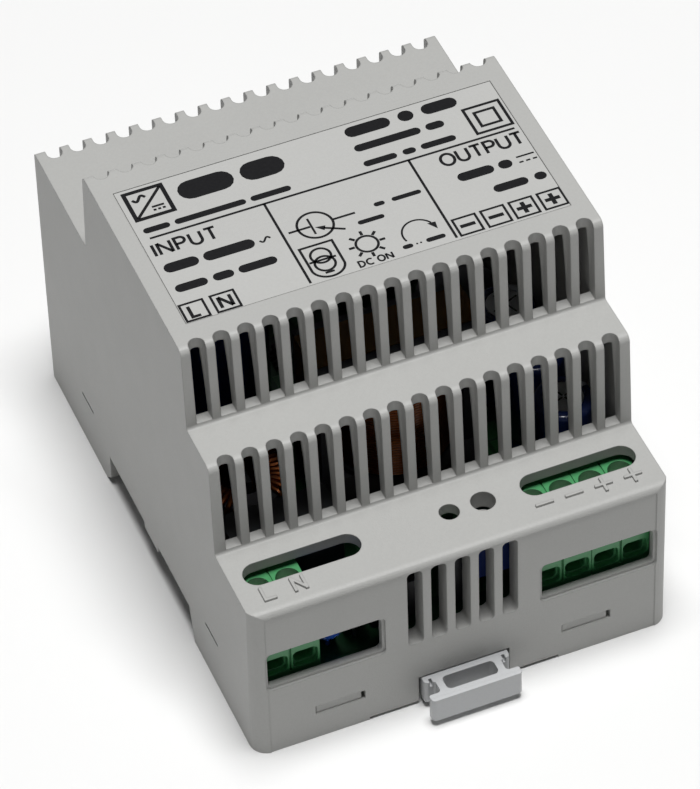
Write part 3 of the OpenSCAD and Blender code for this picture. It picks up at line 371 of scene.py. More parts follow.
class Slot(Enum):
    """The record's material slots, with the finish that each takes."""

    housing_plastic = Moulded(
        "warm_grey_housing_plastic", (0.385, 0.385, 0.372), 0.5, mottle=0.03, mottle_mm=14, grain=0.014,
        grain_mm=0.32, drift=0.1, edge=0.3,
    )
    # Partly the latch's own cool grey, partly painted light: its colour is lighter to make up for the shade
    # that the housing casts over the latch.
    latch_plastic = Moulded(
        "latch_grey_lightened_painted_light", (0.475, 0.483, 0.49), 0.42, mottle=0.03, grain=0.008, grain_mm=0.28,
        edge=0.2,
    )
    label_film = Moulded(
        "label_face_plastic", (0.43, 0.43, 0.417), 0.46, mottle=0.02, mottle_mm=11, grain=0.006,
        grain_mm=0.3, edge=0.08, speck_share=0.8,
    )
    spring_steel = Brushed(
        "spring_steel_wire", (0.56, 0.56, 0.57), 0.24, 1.0, mottle=0.12, grain=0.006, grain_mm=0.2,
    )
    board_laminate = Masked(
        "green_solder_mask", (0.008, 0.045, 0.016), 0.3, coat=0.4, mottle=0.12, edge=0.06,
    )
    terminal_plastic = Moulded(
        "green_terminal_plastic", (0.055, 0.25, 0.095), 0.36, mottle=0.06, mottle_mm=4, grain=0.006,
        grain_mm=0.22, edge=0.14,
    )
    screw_steel = Brushed(
        "zinc_plated_screw_steel", (0.74, 0.73, 0.69), 0.22, 1.0, mottle=0.14, grain=0.012,
        grain_mm=0.16, edge=0.06, along=(1.0, 0.12, 1.0),
    )
    cage_metal = Brushed(
        "nickel_plated_cage", (0.7, 0.66, 0.56), 0.26, 1.0, mottle=0.1, grain=0.008, grain_mm=0.2,
        edge=0.08,
    )
    contact_metal = Brushed(
        "tinned_contact_strip", (0.74, 0.74, 0.73), 0.3, 1.0, mottle=0.1, grain_mm=0.25, edge=0.05,
    )
    led_lens = Dipped(
        "status_lens_green", (0.035, 0.1, 0.035), 0.2, coat=0.4, mottle=0.1, grain=0.002, drift=0.04,
    )
    black_plastic = Moulded(
        "black_moulding", (0.022, 0.022, 0.024), 0.42, mottle=0.15, grain=0.008, edge=0.12,
    )
    trimmer_plastic = Moulded(
        "blue_trimmer_case", (0.005, 0.02, 0.13), 0.5, mottle=0.1, grain=0.004, edge=0.1, gloss=0.2,
    )
    spindle_plastic = Moulded(
        "grey_spindle_plastic", (0.3, 0.3, 0.29), 0.5, grain=0.006, grain_mm=0.2, edge=0.1,
    )
    blue_epoxy = Dipped(
        "blue_dipped_epoxy", (0.02, 0.075, 0.36), 0.2, coat=0.5, mottle=0.12, mottle_mm=2, edge=0.3,
    )
    dark_ceramic = Dipped(
        "dark_green_dipped_disc", (0.02, 0.034, 0.03), 0.34, coat=0.2, mottle=0.2, edge=0.3,
    )
    # Partly the case's own dark grey, partly painted shade: its colour is darkened to stand in for the shade
    # inside the housing.
    film_capacitor_case = Moulded(
        "box_case_darkened_painted_shade", (0.05, 0.052, 0.055), 0.34, mottle=0.07, grain=0.004, edge=0.15,
    )
    ferrite = Finish(
        "ground_ferrite", (0.045, 0.045, 0.05), 0.46, mottle=0.25, mottle_mm=0.6, grain=0.02, edge=0.15,
    )
    copper_wire = Brushed(
        "enamelled_copper_wire", (0.3, 0.095, 0.03), 0.3, 1.0, coat=0.6, mottle=0.16, grain=0.004,
        grain_mm=0.3, along=(1.0, 1.0, 1.0),
    )
    epoxy_package = Moulded(
        "black_moulded_package", (0.018, 0.018, 0.019), 0.5, mottle=0.2, grain=0.01, edge=0.1,
    )
    capacitor_sleeve = Sleeved(
        "capacitor_shrink_sleeve", (0.012, 0.022, 0.09), 0.24, coat=0.3, mottle=0.1, edge=0.05,
    )
    heatsink_aluminium = Brushed(
        "extruded_aluminium", (0.66, 0.67, 0.68), 0.32, 1.0, mottle=0.08, grain=0.014, grain_mm=0.25,
        edge=0.08, along=(1.0, 1.0, 0.04),
    )
    thermal_pad = Finish(
        "pink_thermal_pad", (0.5, 0.27, 0.25), 0.7, mottle=0.1, mottle_mm=1.2, grain=0.02, edge=0.05,
    )
    # Partly the tape's own amber, partly painted shade: its colour is darkened to stand in for the shade
    # inside the housing.
    core_tape = Dipped(
        "amber_tape_darkened_painted_shade", (0.13, 0.06, 0.008), 0.22, coat=0.3, mottle=0.08, grain=0.004,
    )

    @property
    def finish(self) -> Finish:
        """The slot's finish."""
        return self.value


INK = Finish(
    "black_print_ink", (0.012, 0.012, 0.013), 0.42, mottle=0.3, mottle_mm=0.5, grain=0.003,
    grain_mm=0.15, gloss=0.12,
)
CAN_METAL = Brushed(
    "bare_capacitor_can", (0.7, 0.71, 0.72), 0.3, 1.0, mottle=0.08, grain_mm=0.2, along=(1.0, 1.0, 1.0),
)
TIN = Dipped("solder_tin", (0.66, 0.66, 0.65), 0.24, 1.0, mottle=0.1, mottle_mm=0.5, grain=0.006)
FLOOR = Finish("pale_floor", (0.8, 0.8, 0.795), 0.75, mottle=0.004, mottle_mm=300, grain=0.0)


class Wardrobe:
    """Every material of the object, built once and handed out."""

    def __init__(self) -> None:
        """Starts with nothing built."""
        self._built: dict[str, bpy.types.Material] = {}

    def take(self, finish: Finish) -> bpy.types.Material:
        """The finish's material."""
        if finish.name not in self._built:
            self._built[finish.name] = finish.dress()
        return self._built[finish.name]

    def dress_frame(self, frame: dict) -> None:
        """Gives each CAD node the finish of its slot in the record."""
        slots = {row["node"]: row["material_slot"] for row in frame["record"]["subparts"]}
        for name, node in frame["nodes"].items():
            material = self.take(Slot[slots[name]].finish)
            if not node.material_slots:
                node.data.materials.append(material)
            for holder in node.material_slots:
                holder.material = material


# -------- surfaces


def grid_faces(rows: int, cols: int, around_rows: bool = False, around_cols: bool = False) -> np.ndarray:
    """Quads between neighbours of a rows by cols grid of points.

    Args:
        rows: Points along the first direction.
        cols: Points along the second direction.
        around_rows: Whether the last row joins the first.
        around_cols: Whether the last column joins the first.

    Returns:
        Array of four point numbers for each quad.
    """
    shape = (rows if around_rows else rows - 1, cols if around_cols else cols - 1)
    i, j = (index.ravel() for index in np.indices(shape))
    i2, j2 = (i + 1) % rows, (j + 1) % cols
    return np.stack([i * cols + j, i * cols + j2, i2 * cols + j2, i2 * cols + j], axis=1)


class Surface:
    """Points and faces gathered from several shapes into one mesh."""

    def __init__(self) -> None:
        """Starts empty."""
        self.points: list[np.ndarray] = []
        self.faces: list[list[int]] = []
        self.maps: list[np.ndarray] = []
        self.count = 0

    def add(self, points: np.ndarray, faces: Sequence[np.ndarray], uv: Optional[np.ndarray] = None) -> None:
        """Adds a shape.

        Args:
            points: Array of n by 3 points, in mm.
            faces: Arrays of point numbers; each is m by k, or one outline.
            uv: Array of n by 2 places on the UV map.
        """
        points = points.reshape(-1, 3)
        for block in faces:
            block = np.atleast_2d(block) + self.count
            self.faces.extend(block.tolist())
        self.points.append(points)
        self.maps.append(np.zeros((len(points), 2)) if uv is None else uv.reshape(-1, 2))
        self.count += len(points)

    def make(self, name: str, smooth: bool = True) -> bpy.types.Object:
        """Writes the mesh.

        Args:
            name: Name of the piece.
            smooth: Whether faces that meet at under 40 degrees are shaded as one.

        Returns:
            The object, at the origin, with closed poles and outward faces.
        """
        points = np.concatenate(self.points) * MM
        mesh = bpy.data.meshes.new(name)
        mesh.from_pydata(points.tolist(), [], self.faces)
        layer = mesh.uv_layers.new(name="UVMap")
        corners = np.zeros(len(mesh.loops), dtype=np.int64)
        mesh.loops.foreach_get("vertex_index", corners)
        layer.data.foreach_set("uv", np.concatenate(self.maps)[corners].astype(np.float32).ravel())
        work = bmesh.new()
        work.from_mesh(mesh)
        bmesh.ops.remove_doubles(work, verts=work.verts, dist=2e-7)
        bmesh.ops.recalc_face_normals(work, faces=work.faces)
        work.to_mesh(mesh)
        work.free()
        if smooth:
            mesh.shade_smooth()
            mesh.set_sharp_from_angle(angle=math.radians(40))
        made = bpy.data.objects.new(name, mesh)
        bpy.context.scene.collection.objects.link(made)
        return made


def arc(
    centre: Sequence[float], radii: Sequence[float], start: float, end: float, count: int = 24
) -> np.ndarray:
    """Points on an ellipse: centre plus radii times cosine and sine from start to end degrees."""
    angle = np.radians(np.linspace(start, end, count))
    return np.stack([centre[0] + radii[0] * np.cos(angle), centre[1] + radii[1] * np.sin(angle)], axis=1)


def prism(surface: Surface, outline: np.ndarray, low: float, high: float) -> None:
    """Adds a flat outline raised from low to high: both faces and the wall between them.

    Args:
        surface: Where the shape goes.
        outline: Array of n by 2 points, in order round the outline.
        low: Height of its underside.
        high: Height of its face.
    """
    n = len(outline)
    rows = [np.column_stack([outline, np.full(n, z)]) for z in (low, high)]
    faces = [grid_faces(2, n, around_cols=True), np.arange(n)[::-1], np.arange(n, 2 * n)]
    surface.add(np.concatenate(rows), faces)


def ribbon(
    surface: Surface, line: np.ndarray, width: float, low: float, high: float, closed: bool = False
) -> None:
    """Adds a flat stroke along a line.

    Each point moves half the width to either side, along the mitre of its two neighbours' normals,
    and the two edges are raised from low to high.

    Args:
        surface: Where the stroke goes.
        line: Array of n by 2 points.
        width: Width of the stroke.
        low: Height of its underside.
        high: Height of its face.
        closed: Whether the line returns to its start.
    """
    ahead = np.roll(line, -1, axis=0) - line
    if not closed:
        ahead[-1] = ahead[-2]
    behind = np.roll(ahead, 1, axis=0)
    if not closed:
        behind[0] = ahead[0]
    one, two = (
        np.stack([-d[:, 1], d[:, 0]], axis=1) / np.linalg.norm(d, axis=1)[:, None] for d in (ahead, behind)
    )
    mitre = (one + two) / np.maximum(1 + np.sum(one * two, axis=1), 0.5)[:, None]
    left, right = line + mitre * width / 2, line - mitre * width / 2
    n = len(line)
    corners = ((left, low), (left, high), (right, high), (right, low))
    points = np.stack([np.column_stack([side, np.full(n, z)]) for side, z in corners], axis=1)
    faces = [grid_faces(n, 4, around_rows=closed, around_cols=True)]
    if not closed:
        faces += [np.arange(4), np.arange(4 * n - 4, 4 * n)[::-1]]
    surface.add(points, faces)


def revolve(surface: Surface, profile: np.ndarray, centre: Sequence[float], sides: int = 48) -> None:
    """Adds a turned shape: each point of a profile goes once round an upright axis.

    Args:
        surface: Where the shape goes.
        profile: Array of n by 2 points, each a radius and a height.
        centre: A place on the axis, from which the heights count.
        sides: Corners of each circle.
    """
    turn = np.linspace(0, TAU, sides + 1)
    radius, height = profile[:, 0][:, None], profile[:, 1][:, None]
    x, y = centre[0] + radius * np.cos(turn), centre[1] + radius * np.sin(turn)
    points = np.stack([x, y, centre[2] + height + 0 * turn], axis=2)
    run = np.concatenate([[0], np.cumsum(np.linalg.norm(np.diff(profile, axis=0), axis=1))])
    uv = np.stack(np.meshgrid(turn / TAU, run / run[-1]), axis=2)
    surface.add(points, [grid_faces(len(profile), sides + 1)], uv)


def sweep(surface: Surface, path: np.ndarray, radius: float, side: np.ndarray, sides: int = 10) -> None:
    """Adds a round wire along a path.

    The ring at each point is radius times the cosine of its turn along the part of `side` that is
    square to the path, plus the sine along their cross product.

    Args:
        surface: Where the wire goes.
        path: Array of n by 3 points.
        radius: Wire radius.
        side: Direction that is nowhere along the path, one or one for each point.
        sides: Corners of the ring.
    """
    tangent = np.gradient(path, axis=0)
    tangent /= np.linalg.norm(tangent, axis=1)[:, None]
    side = np.broadcast_to(side, path.shape)
    first = side - tangent * np.sum(side * tangent, axis=1)[:, None]
    first /= np.linalg.norm(first, axis=1)[:, None]
    second = np.cross(tangent, first)
    turn = np.linspace(0, TAU, sides, endpoint=False)
    out = first[:, None] * np.cos(turn)[:, None] + second[:, None] * np.sin(turn)[:, None]
    n = len(path)
    caps = [np.arange(sides)[::-1], np.arange((n - 1) * sides, n * sides)]
    surface.add(path[:, None] + radius * out, [grid_faces(n, sides, around_cols=True), *caps])


def helix(
    centre: Sequence[float], radius: float, low: float, high: float, turns: float, steps: int = 32
) -> np.ndarray:
    """Points of an upright coil: a circle of that radius while the height runs from low to high.

    Args:
        centre: A place on the coil's axis.
        radius: Radius of the circle.
        low: Height of the first point.
        high: Height of the last point.
        turns: How often the coil goes round.
        steps: Points for each turn.

    Returns:
        Array of n by 3 points.
    """
    t = np.linspace(0, 1, int(turns * steps) + 1)
    angle = TAU * turns * t
    x, y = centre[0] + radius * np.cos(angle), centre[1] + radius * np.sin(angle)
    return np.stack([x, y, low + (high - low) * t], axis=1)


# -------- assemblies


class Assembly:
    """A group of pieces that are made and dressed together."""

    def __init__(self, wardrobe: Wardrobe) -> None:
        """Keeps the wardrobe that the pieces take their materials from."""
        self.wardrobe = wardrobe

    def settle(
        self,
        surface: Surface,
        name: str,
        slot: Slot,
        finish: Optional[Finish] = None,
        body: str = STATIC_BODY,
        stands_for: Sequence[str] = (),
        smooth: bool = True,
    ) -> bpy.types.Object:
        """Makes a piece, dresses it and puts it on its body.

        Args:
            surface: The piece's points and faces.
            name: The piece's name.
            slot: The record's slot for its finish.
            finish: A finish of its own, if not the slot's.
            body: The CAD body that it rides on.
            stands_for: CAD nodes that it replaces.
            smooth: Whether its shading is smooth.

        Returns:
            The finished object.
        """
        piece = surface.make(name, smooth)
        piece.data.materials.append(self.wardrobe.take(finish or slot.finish))
        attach(piece, body)
        if stands_for:
            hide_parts(*stands_for)
        LOG.info("%s: %d faces on %s", name, len(piece.data.polygons), body)
        return piece

    def build(self) -> None:
        """Makes the assembly's pieces."""
        raise NotImplementedError


def corners_mm(node: str) -> tuple[np.ndarray, np.ndarray]:
    """Lowest and highest corner of a CAD node, in mm."""
    low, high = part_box(node)
    return np.array(low) / MM, np.array(high) / MM


class Glyphs:
    """Plain single-stroke capitals on a unit height, drawn as lines and arcs."""

    @staticmethod
    def strokes(letter: str) -> tuple[float, list[np.ndarray]]:
        """Draws a letter one unit high.

        Args:
            letter: One of the capitals of the table, or a space.

        Returns:
            The letter's width and its strokes.
        """
        line = lambda *pts: np.array(pts, float)
        bowl = arc((0.34, 0.74), (0.26, 0.26), 90, -90, 10)
        cup = arc((0.34, 0.34), (0.34, 0.34), 180, 360, 14)
        belly = arc((0.2, 0.5), (0.5, 0.5), 90, -90, 14)
        table = {
            "L": (0.55, [line((0, 1), (0, 0), (0.55, 0))]),
            "N": (0.76, [line((0, 0), (0, 1)), line((0.02, 1), (0.74, 0)), line((0.76, 0), (0.76, 1))]),
            "I": (0.0, [line((0, 0), (0, 1))]),
            "P": (0.6, [np.concatenate([line((0, 0), (0, 1)), bowl, line((0, 0.48))])]),
            "U": (0.68, [np.concatenate([line((0, 1)), cup, line((0.68, 1))])]),
            "T": (0.66, [line((0, 1), (0.66, 1)), line((0.33, 1), (0.33, 0))]),
            "O": (0.84, [arc((0.42, 0.5), (0.42, 0.5), 0, 360, 28)]),
            "D": (0.7, [np.concatenate([line((0, 0), (0, 1)), belly, line((0, 0))])]),
            "C": (0.7, [arc((0.48, 0.5), (0.46, 0.5), 50, 310, 18)]),
            " ": (0.2, []),
        }
        return table[letter]


@dataclass
class LabelPrint(Assembly):
    """The print on the label face: dividers, pole boxes, plain symbols, two words and neutral bars."""

    wardrobe: Wardrobe
    ink_t: float = 0.018
    line_w: float = 0.42
    box_w: float = 0.4
    box: float = 3.75
    sink: float = 0.004

    def __post_init__(self) -> None:
        """Finds the face that the ink lies on."""
        self.low = corners_mm("label_plate")[1][2] - self.sink
        self.high = self.low + self.sink + self.ink_t

    def stroke(self, surface: Surface, points: Sequence, width: float, closed: bool = False) -> None:
        """Adds one printed stroke."""
        ribbon(surface, np.asarray(points, float), width, self.low, self.high, closed)

    def word(
        self, surface: Surface, text: str, at: Sequence[float], height: float, length: float, width: float
    ) -> None:
        """Adds a word whose letters are spread evenly over a length.

        Args:
            surface: Where the word goes.
            text: The letters.
            at: Place of the word's lower left corner.
            height: Height of the letters.
            length: Length that the word fills.
            width: Width of the strokes.
        """
        shapes = [Glyphs.strokes(letter) for letter in text]
        gap = (length / height - sum(w for w, _ in shapes)) / max(len(text) - 1, 1)
        x = 0.0
        for wide, strokes in shapes:
            for one in strokes:
                loop = bool(np.allclose(one[0], one[-1]))
                self.stroke(surface, (one[: -1 if loop else None] + (x, 0)) * height + at, width, loop)
            x += wide + gap

    def bar(self, surface: Surface, x0: float, x1: float, y: float, height: float) -> None:
        """Adds a neutral bar with round ends, where an owner's own text would go."""
        r = height / 2
        ends = [arc((x1 - r, y), (r, r), -90, 90, 8), arc((x0 + r, y), (r, r), 90, 270, 8)]
        prism(surface, np.concatenate(ends), self.low, self.high)

    def frame(self, surface: Surface, x: float, y: float, size: float, width: float) -> None:
        """Adds one square frame with its lower left corner at x, y."""
        x1, y1 = x + size, y + size
        self.stroke(surface, [(x, y), (x1, y), (x1, y1), (x, y1)], width, closed=True)

    def dividers(self) -> Surface:
        """The long line across the face and the two lines that part its columns."""
        lines = Surface()
        self.stroke(lines, [(-30.2, 4.1), (31.0, 4.1)], self.line_w)
        self.stroke(lines, [(-11.3, 4.1), (-11.3, -15.1)], self.line_w)
        self.stroke(lines, [(12.95, 4.1), (12.95, -15.0)], self.line_w)
        return lines

    def pole_marks(self) -> Surface:
        """Framed pole marks: L and N at the left, two minus and two plus at the right."""
        marks = Surface()
        heavy = 0.72
        for x, letter, left in ((-31.5, "L", 1.15), (-26.45, "N", 0.95)):
            self.frame(marks, x, -15.25, self.box, self.box_w)
            self.word(marks, letter, (x + left, -14.6), 2.4, 2.0, 0.56)
        for k, x in enumerate((13.75, 18.5, 23.25, 28.0)):
            y = -14.9
            self.frame(marks, x, y, self.box, self.box_w)
            cx, cy = x + self.box / 2, y + self.box / 2
            self.stroke(marks, [(cx - 1.25, cy), (cx + 1.25, cy)], heavy)
            if k > 1:
                self.stroke(marks, [(cx, cy - 1.25), (cx, cy - heavy / 2)], heavy)
                self.stroke(marks, [(cx, cy + heavy / 2), (cx, cy + 1.25)], heavy)
        return marks

    def symbols(self) -> Surface:
        """Plain drawing symbols: a limiter, a shielded transformer, a lamp, a turn arrow and supply waves."""
        s = Surface()
        thin = 0.42
        limiter, r = np.array([-5.85, -3.5]), 2.85
        self.stroke(s, arc(limiter, (r, r), 0, 352.5, 48), thin, closed=True)
        self.stroke(s, [(-10.3, -3.55), (-6.7, -3.55)], thin)
        self.stroke(s, [(-2.9, -3.45), (0.8, -3.45)], thin)
        self.stroke(s, [(-6.5, -1.7), (-6.5, -5.4)], 0.36)
        self.stroke(s, [(-1.9, -6.2), (-4.9, -4.6)], thin)
        prism(s, np.array([(-6.1, -3.95), (-4.95, -5.15), (-4.45, -4.2)]), self.low, self.high)
        shield = np.concatenate([
            [(-10.2, -7.6), (-4.8, -7.6)], arc((-7.5, -12.6), (2.7, 2.35), 0, -180, 20)[1:-1], ])
        self.stroke(s, shield[::-1], thin, closed=True)
        for y in (-10.1, -11.95):
            self.stroke(s, arc((-7.65, y), (1.6, 1.6), 0, 350, 36), thin, closed=True)
        self.stroke(s, [(-9.9, -11.05), (-5.5, -11.05)], thin)
        self.stroke(s, [(-8.4, -13.95), (-6.9, -13.95)], thin)
        lamp = np.array([-0.15, -10.6])
        self.stroke(s, arc(lamp, (1.75, 1.75), 0, 350, 36), thin, closed=True)
        for turn in np.radians(np.arange(0, 360, 45)):
            way = np.array([math.cos(turn), math.sin(turn)])
            self.stroke(s, [lamp + way * 2.05, lamp + way * 3.0], 0.48)
        self.stroke(s, arc((8.2, -11.6), (2.75, 2.85), 200, 28, 30), 0.32)
        prism(s, np.array([(11.1, -11.9), (10.0, -10.25), (11.35, -10.3)]), self.low, self.high)
        self.wave(s, (-14.1, -3.3), 0.9, 0.42, 0.34)
        self.stroke(s, [(28.5, -2.2), (31.5, -2.2)], 0.34)
        for x in (28.5, 29.65, 30.8):
            self.stroke(s, [(x, -3.45), (x + 0.72, -3.45)], 0.34)
        return s

    def wave(
        self, surface: Surface, centre: Sequence[float], half: float, high: float, width: float
    ) -> None:
        """Adds one full sine wave, the sign of an alternating supply: high times the sine of x."""
        x = np.linspace(-half, half, 20)
        line = np.stack([centre[0] + x, centre[1] + high * np.sin(x / half * math.pi)], axis=1)
        self.stroke(surface, line, width)

    def converter(self) -> Surface:
        """A large sign of a supply: a square parted by its diagonal, alternating above and direct below."""
        s = Surface()
        x, y, size = -30.6, 8.6, 6.2
        self.frame(s, x, y, size, 0.7)
        self.stroke(s, [(x + 0.3, y + 0.3), (x + size - 0.3, y + size - 0.3)], 0.5)
        self.wave(s, (x + 1.95, y + 4.5), 1.1, 0.55, 0.5)
        self.stroke(s, [(x + 3.2, y + 1.95), (x + 5.2, y + 1.95)], 0.42)
        for k in range(3):
            self.stroke(s, [(x + 3.2 + 0.76 * k, y + 1.2), (x + 3.68 + 0.76 * k, y + 1.2)], 0.42)
        for inset in (0.0, 1.35):
            self.frame(s, 25.2 + inset, 5.2 + inset, 6.0 - 2 * inset, 0.5)
        return s

    def words(self) -> Surface:
        """The plain words for the two sides and the lamp."""
        s = Surface()
        self.word(s, "INPUT", (-30.6, 0.0), 2.6, 10.3, 0.5)
        self.word(s, "OUTPUT", (17.5, 0.45), 2.6, 13.8, 0.5)
        self.word(s, "DC ON", (-3.0, -15.0), 1.25, 5.5, 0.32)
        return s

    def bars(self) -> Surface:
        """Neutral bars in place of an owner's own text."""
        s = Surface()
        rows = (
            (11.8, 4.2, ((-22.6, -13.4), (-12.2, -4.9))),
            (5.9, 1.2, ((-30.6, -26.2), (-25.4, -13.6), (-12.8, -6.1))),
            (13.7, 2.4, ((6.2, 13.8), (15.2, 17.8), (19.2, 25.2))),
            (9.8, 1.6, ((6.2, 17.4), (18.3, 21.4))),
            (6.0, 1.3, ((6.2, 11.8), (12.8, 15.0), (15.9, 21.8))),
            (-3.2, 2.1, ((-30.7, -25.0), (-24.2, -15.8))),
            (-8.0, 1.7, ((-30.7, -25.4), (-24.5, -21.1), (-20.3, -14.0))),
            (-3.1, 0.9, ((4.1, 5.9), (7.1, 12.0))),
            (-5.85, 0.9, ((0.3, 4.7),)),
            (-13.7, 0.9, ((4.5, 6.2), (8.4, 11.6))),
            (-13.7, 0.34, ((6.7, 7.05), (7.35, 7.7))),
            (-2.9, 1.9, ((18.3, 24.4), (25.2, 27.5))),
            (-7.5, 1.7, ((22.4, 28.2), (29.3, 31.3))),
        )
        for y, high, spans in rows:
            for x0, x1 in spans:
                self.bar(s, x0, x1, y, high)
        return s

    def build(self) -> None:
        """Makes the print as thin raised ink."""
        pieces = {
            "label_print_dividers": self.dividers(), "label_print_pole_marks": self.pole_marks(),
            "label_print_symbols": self.symbols(), "label_print_supply_sign": self.converter(),
            "label_print_words": self.words(), "label_print_bars": self.bars(),
        }
        for name, surface in pieces.items():
            self.settle(surface, name, Slot.label_film, INK, smooth=False)


@dataclass
class LatchSpring(Assembly):
    """Compression spring that pushes the rail latch home."""

    wardrobe: Wardrobe
    wire: float = 0.5
    turns: float = 8.0
    closed_turns: float = 1.1
    squeeze: float = 3.5

    def build(self) -> None:
        """Makes the coil: a helix along Y whose pitch closes at both ends, on a mesh of its own."""
        low, high = corners_mm("latch_spring")
        centre, length = (low + high) / 2, high[1] - low[1]
        radius = (high[0] - low[0]) / 2 - self.wire / 2
        t = np.linspace(0, 1, int(self.turns * 40) + 1)
        ends = self.closed_turns / self.turns
        ground, free = self.wire * self.closed_turns, length - self.wire
        rise = np.interp(t, [0, ends, 1 - ends, 1], [0, ground, free - ground, free])
        angle = TAU * self.turns * t
        x, z = centre[0] + radius * np.cos(angle), centre[2] + radius * np.sin(angle)
        path = np.stack([x, low[1] + self.wire / 2 + rise, z], axis=1)
        coil = Surface()
        sweep(coil, path, self.wire / 2, np.array([0.0, 1.0, 0.0]), 12)
        piece = self.settle(coil, "latch_spring_coil", Slot.spring_steel, stands_for=["latch_spring"])
        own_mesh(piece)


@dataclass
class Windings(Assembly):
    """Wound copper: the mains choke's two halves, the transformer and the output choke."""

    wardrobe: Wardrobe
    layer_step: float = 0.87
    ring_wire: float = 0.92
    ring_radius: float = 6.0
    ring_half: float = 1.5
    ring_turns: int = 13
    ring_reach: float = math.radians(66)
    squareness: float = 0.35

    def layered(self, node: str, name: str, wire: float) -> None:
        """Winds a coil of close turns in two layers on a plain core, in place of a CAD ring.

        Args:
            node: The CAD ring.
            name: The piece's name.
            wire: Wire diameter.
        """
        low, high = corners_mm(node)
        centre = (low + high) / 2
        outer = (high[0] - low[0]) / 2
        coil = Surface()
        turns = int((high[2] - low[2]) / (wire * 1.04))
        for layer in range(2):
            radius = outer - wire * (0.5 + self.layer_step * layer)
            path = helix(centre, radius, low[2] + wire / 2, high[2] - wire / 2, turns - 0.5 * layer, 40)
            sweep(coil, path, wire / 2, np.array([0.0, 0.0, 1.0]), 8)
        core, bore = outer - wire * 1.8, outer - wire * 1.8 - 1
        profile = [(bore, low[2]), (core, low[2]), (core, high[2]), (bore, high[2]), (bore, low[2])]
        revolve(coil, np.array(profile), (centre[0], centre[1], 0), 40)
        self.settle(coil, name, Slot.copper_wire, stands_for=[node])

    def ring(self) -> None:
        """Two windings on the ring core: each turn goes round the core's rounded square section while
        the coil moves a little way round the ring."""
        core_low, core_high = corners_mm("choke_core")
        centre = (core_low + core_high) / 2
        wire = self.ring_wire
        half_r = self.ring_half + wire / 2 + 0.1
        half_z = (core_high[2] - core_low[2]) / 2 + wire / 2 + 0.05
        coil = Surface()
        t = np.linspace(0, 1, self.ring_turns * 28 + 1)
        turn = TAU * self.ring_turns * t + math.pi
        cos, sin = np.cos(turn), np.sin(turn)
        r = self.ring_radius + half_r * np.sign(cos) * np.abs(cos) ** self.squareness
        z = centre[2] + half_z * np.sign(sin) * np.abs(sin) ** self.squareness
        for side in (0.0, math.pi):
            place = side + self.ring_reach * (2 * t - 1)
            path = np.stack([centre[0] + r * np.cos(place), centre[1] + r * np.sin(place), z], axis=1)
            around = np.stack([-np.sin(place), np.cos(place), 0 * place], axis=1)
            sweep(coil, path, wire / 2, around, 8)
        self.settle(coil, "choke_winding_turns", Slot.copper_wire, stands_for=["choke_windings"])

    def build(self) -> None:
        """Makes the three windings."""
        self.ring()
        self.layered("transformer_winding", "transformer_winding_turns", 0.55)
        self.layered("output_choke_winding", "output_choke_turns", 0.9)


@dataclass
class Capacitors(Assembly):
    """Round electrolytic capacitors: sleeve with its rolled bead, bare top with its vent score drawn as
    painted shade, and leads.
    """

    wardrobe: Wardrobe
    bead: float = 0.35
    lead_d: float = 0.8

    def can(self, node: str, lead_pitch: float, leads_along_x: bool) -> None:
        """Replaces one CAD capacitor with its sleeve, top and leads.

        Args:
            node: The CAD capacitor.
            lead_pitch: Distance between its two leads.
            leads_along_x: Whether the leads stand beside each other along X, not along Y.
        """
        low, high = corners_mm(node)
        mid = (low + high) / 2
        r = (high[0] - low[0]) / 2
        foot = corners_mm("circuit_board")[1][2] + 0.25
        top = high[2]
        b = self.bead
        profile = np.array([
            (0, foot + 0.3), (r - 1.4, foot + 0.3), (r - 1.1, foot), (r - 0.25, foot), (r, foot + 0.35),
            (r, foot + 1.5), (r - b, foot + 2.1), (r - b, foot + 2.5), (r, foot + 3.1),
            (r, top - 0.9), (r - 0.12, top - 0.4), (r - 0.5, top - 0.06), (r - 1.0, top),
            (r - 1.6, top - 0.03), (r - 1.65, top - 0.2), (0, top - 0.2),
        ])
        sleeve = Surface()
        revolve(sleeve, profile, (mid[0], mid[1], 0), 56)
        self.settle(sleeve, f"{node}_sleeve", Slot.capacitor_sleeve, stands_for=[node])
        disc = Surface()
        ring = r - 1.75
        profile = [(0, top - 0.21), (ring, top - 0.21), (ring - 0.05, top - 0.06), (0, top - 0.06)]
        revolve(disc, np.array(profile), (mid[0], mid[1], 0), 48)
        self.settle(disc, f"{node}_top", Slot.capacitor_sleeve, CAN_METAL)
        # The vent score is drawn as thin black strips: painted shade that stands in for the shade in its
        # stamped grooves.
        score = Surface()
        for turn in (0.4, 0.4 + math.pi / 2):
            way = np.array([math.cos(turn), math.sin(turn)]) * ring * 0.8
            for part in (-1, 1):
                line = np.array([mid[:2] + part * way, mid[:2] + part * way * 0.08])
                ribbon(score, line, 0.3, top - 0.08, top - 0.045)
        score_shade_finish = Slot.black_plastic.finish
        self.settle(score, f"{node}_vent_score_painted_shade", Slot.capacitor_sleeve, score_shade_finish, smooth=False)
        wires = Surface()
        step = np.array([lead_pitch / 2, 0.0] if leads_along_x else [0.0, lead_pitch / 2])
        for part in (-1, 1):
            x, y = mid[:2] + part * step
            path = np.column_stack([np.full(6, x), np.full(6, y), np.linspace(low[2], foot + 0.8, 6)])
            sweep(wires, path, self.lead_d / 2, np.array([1.0, 0.0, 0.0]), 10)
        self.settle(wires, f"{node}_leads", Slot.contact_metal, TIN)

    def build(self) -> None:
        """Makes the bulk capacitor and the three output capacitors."""
        self.can("bulk_capacitor", 7.5, True)
        for k in (1, 2, 3):
            self.can(f"output_capacitor_{k}", 5.0, False)


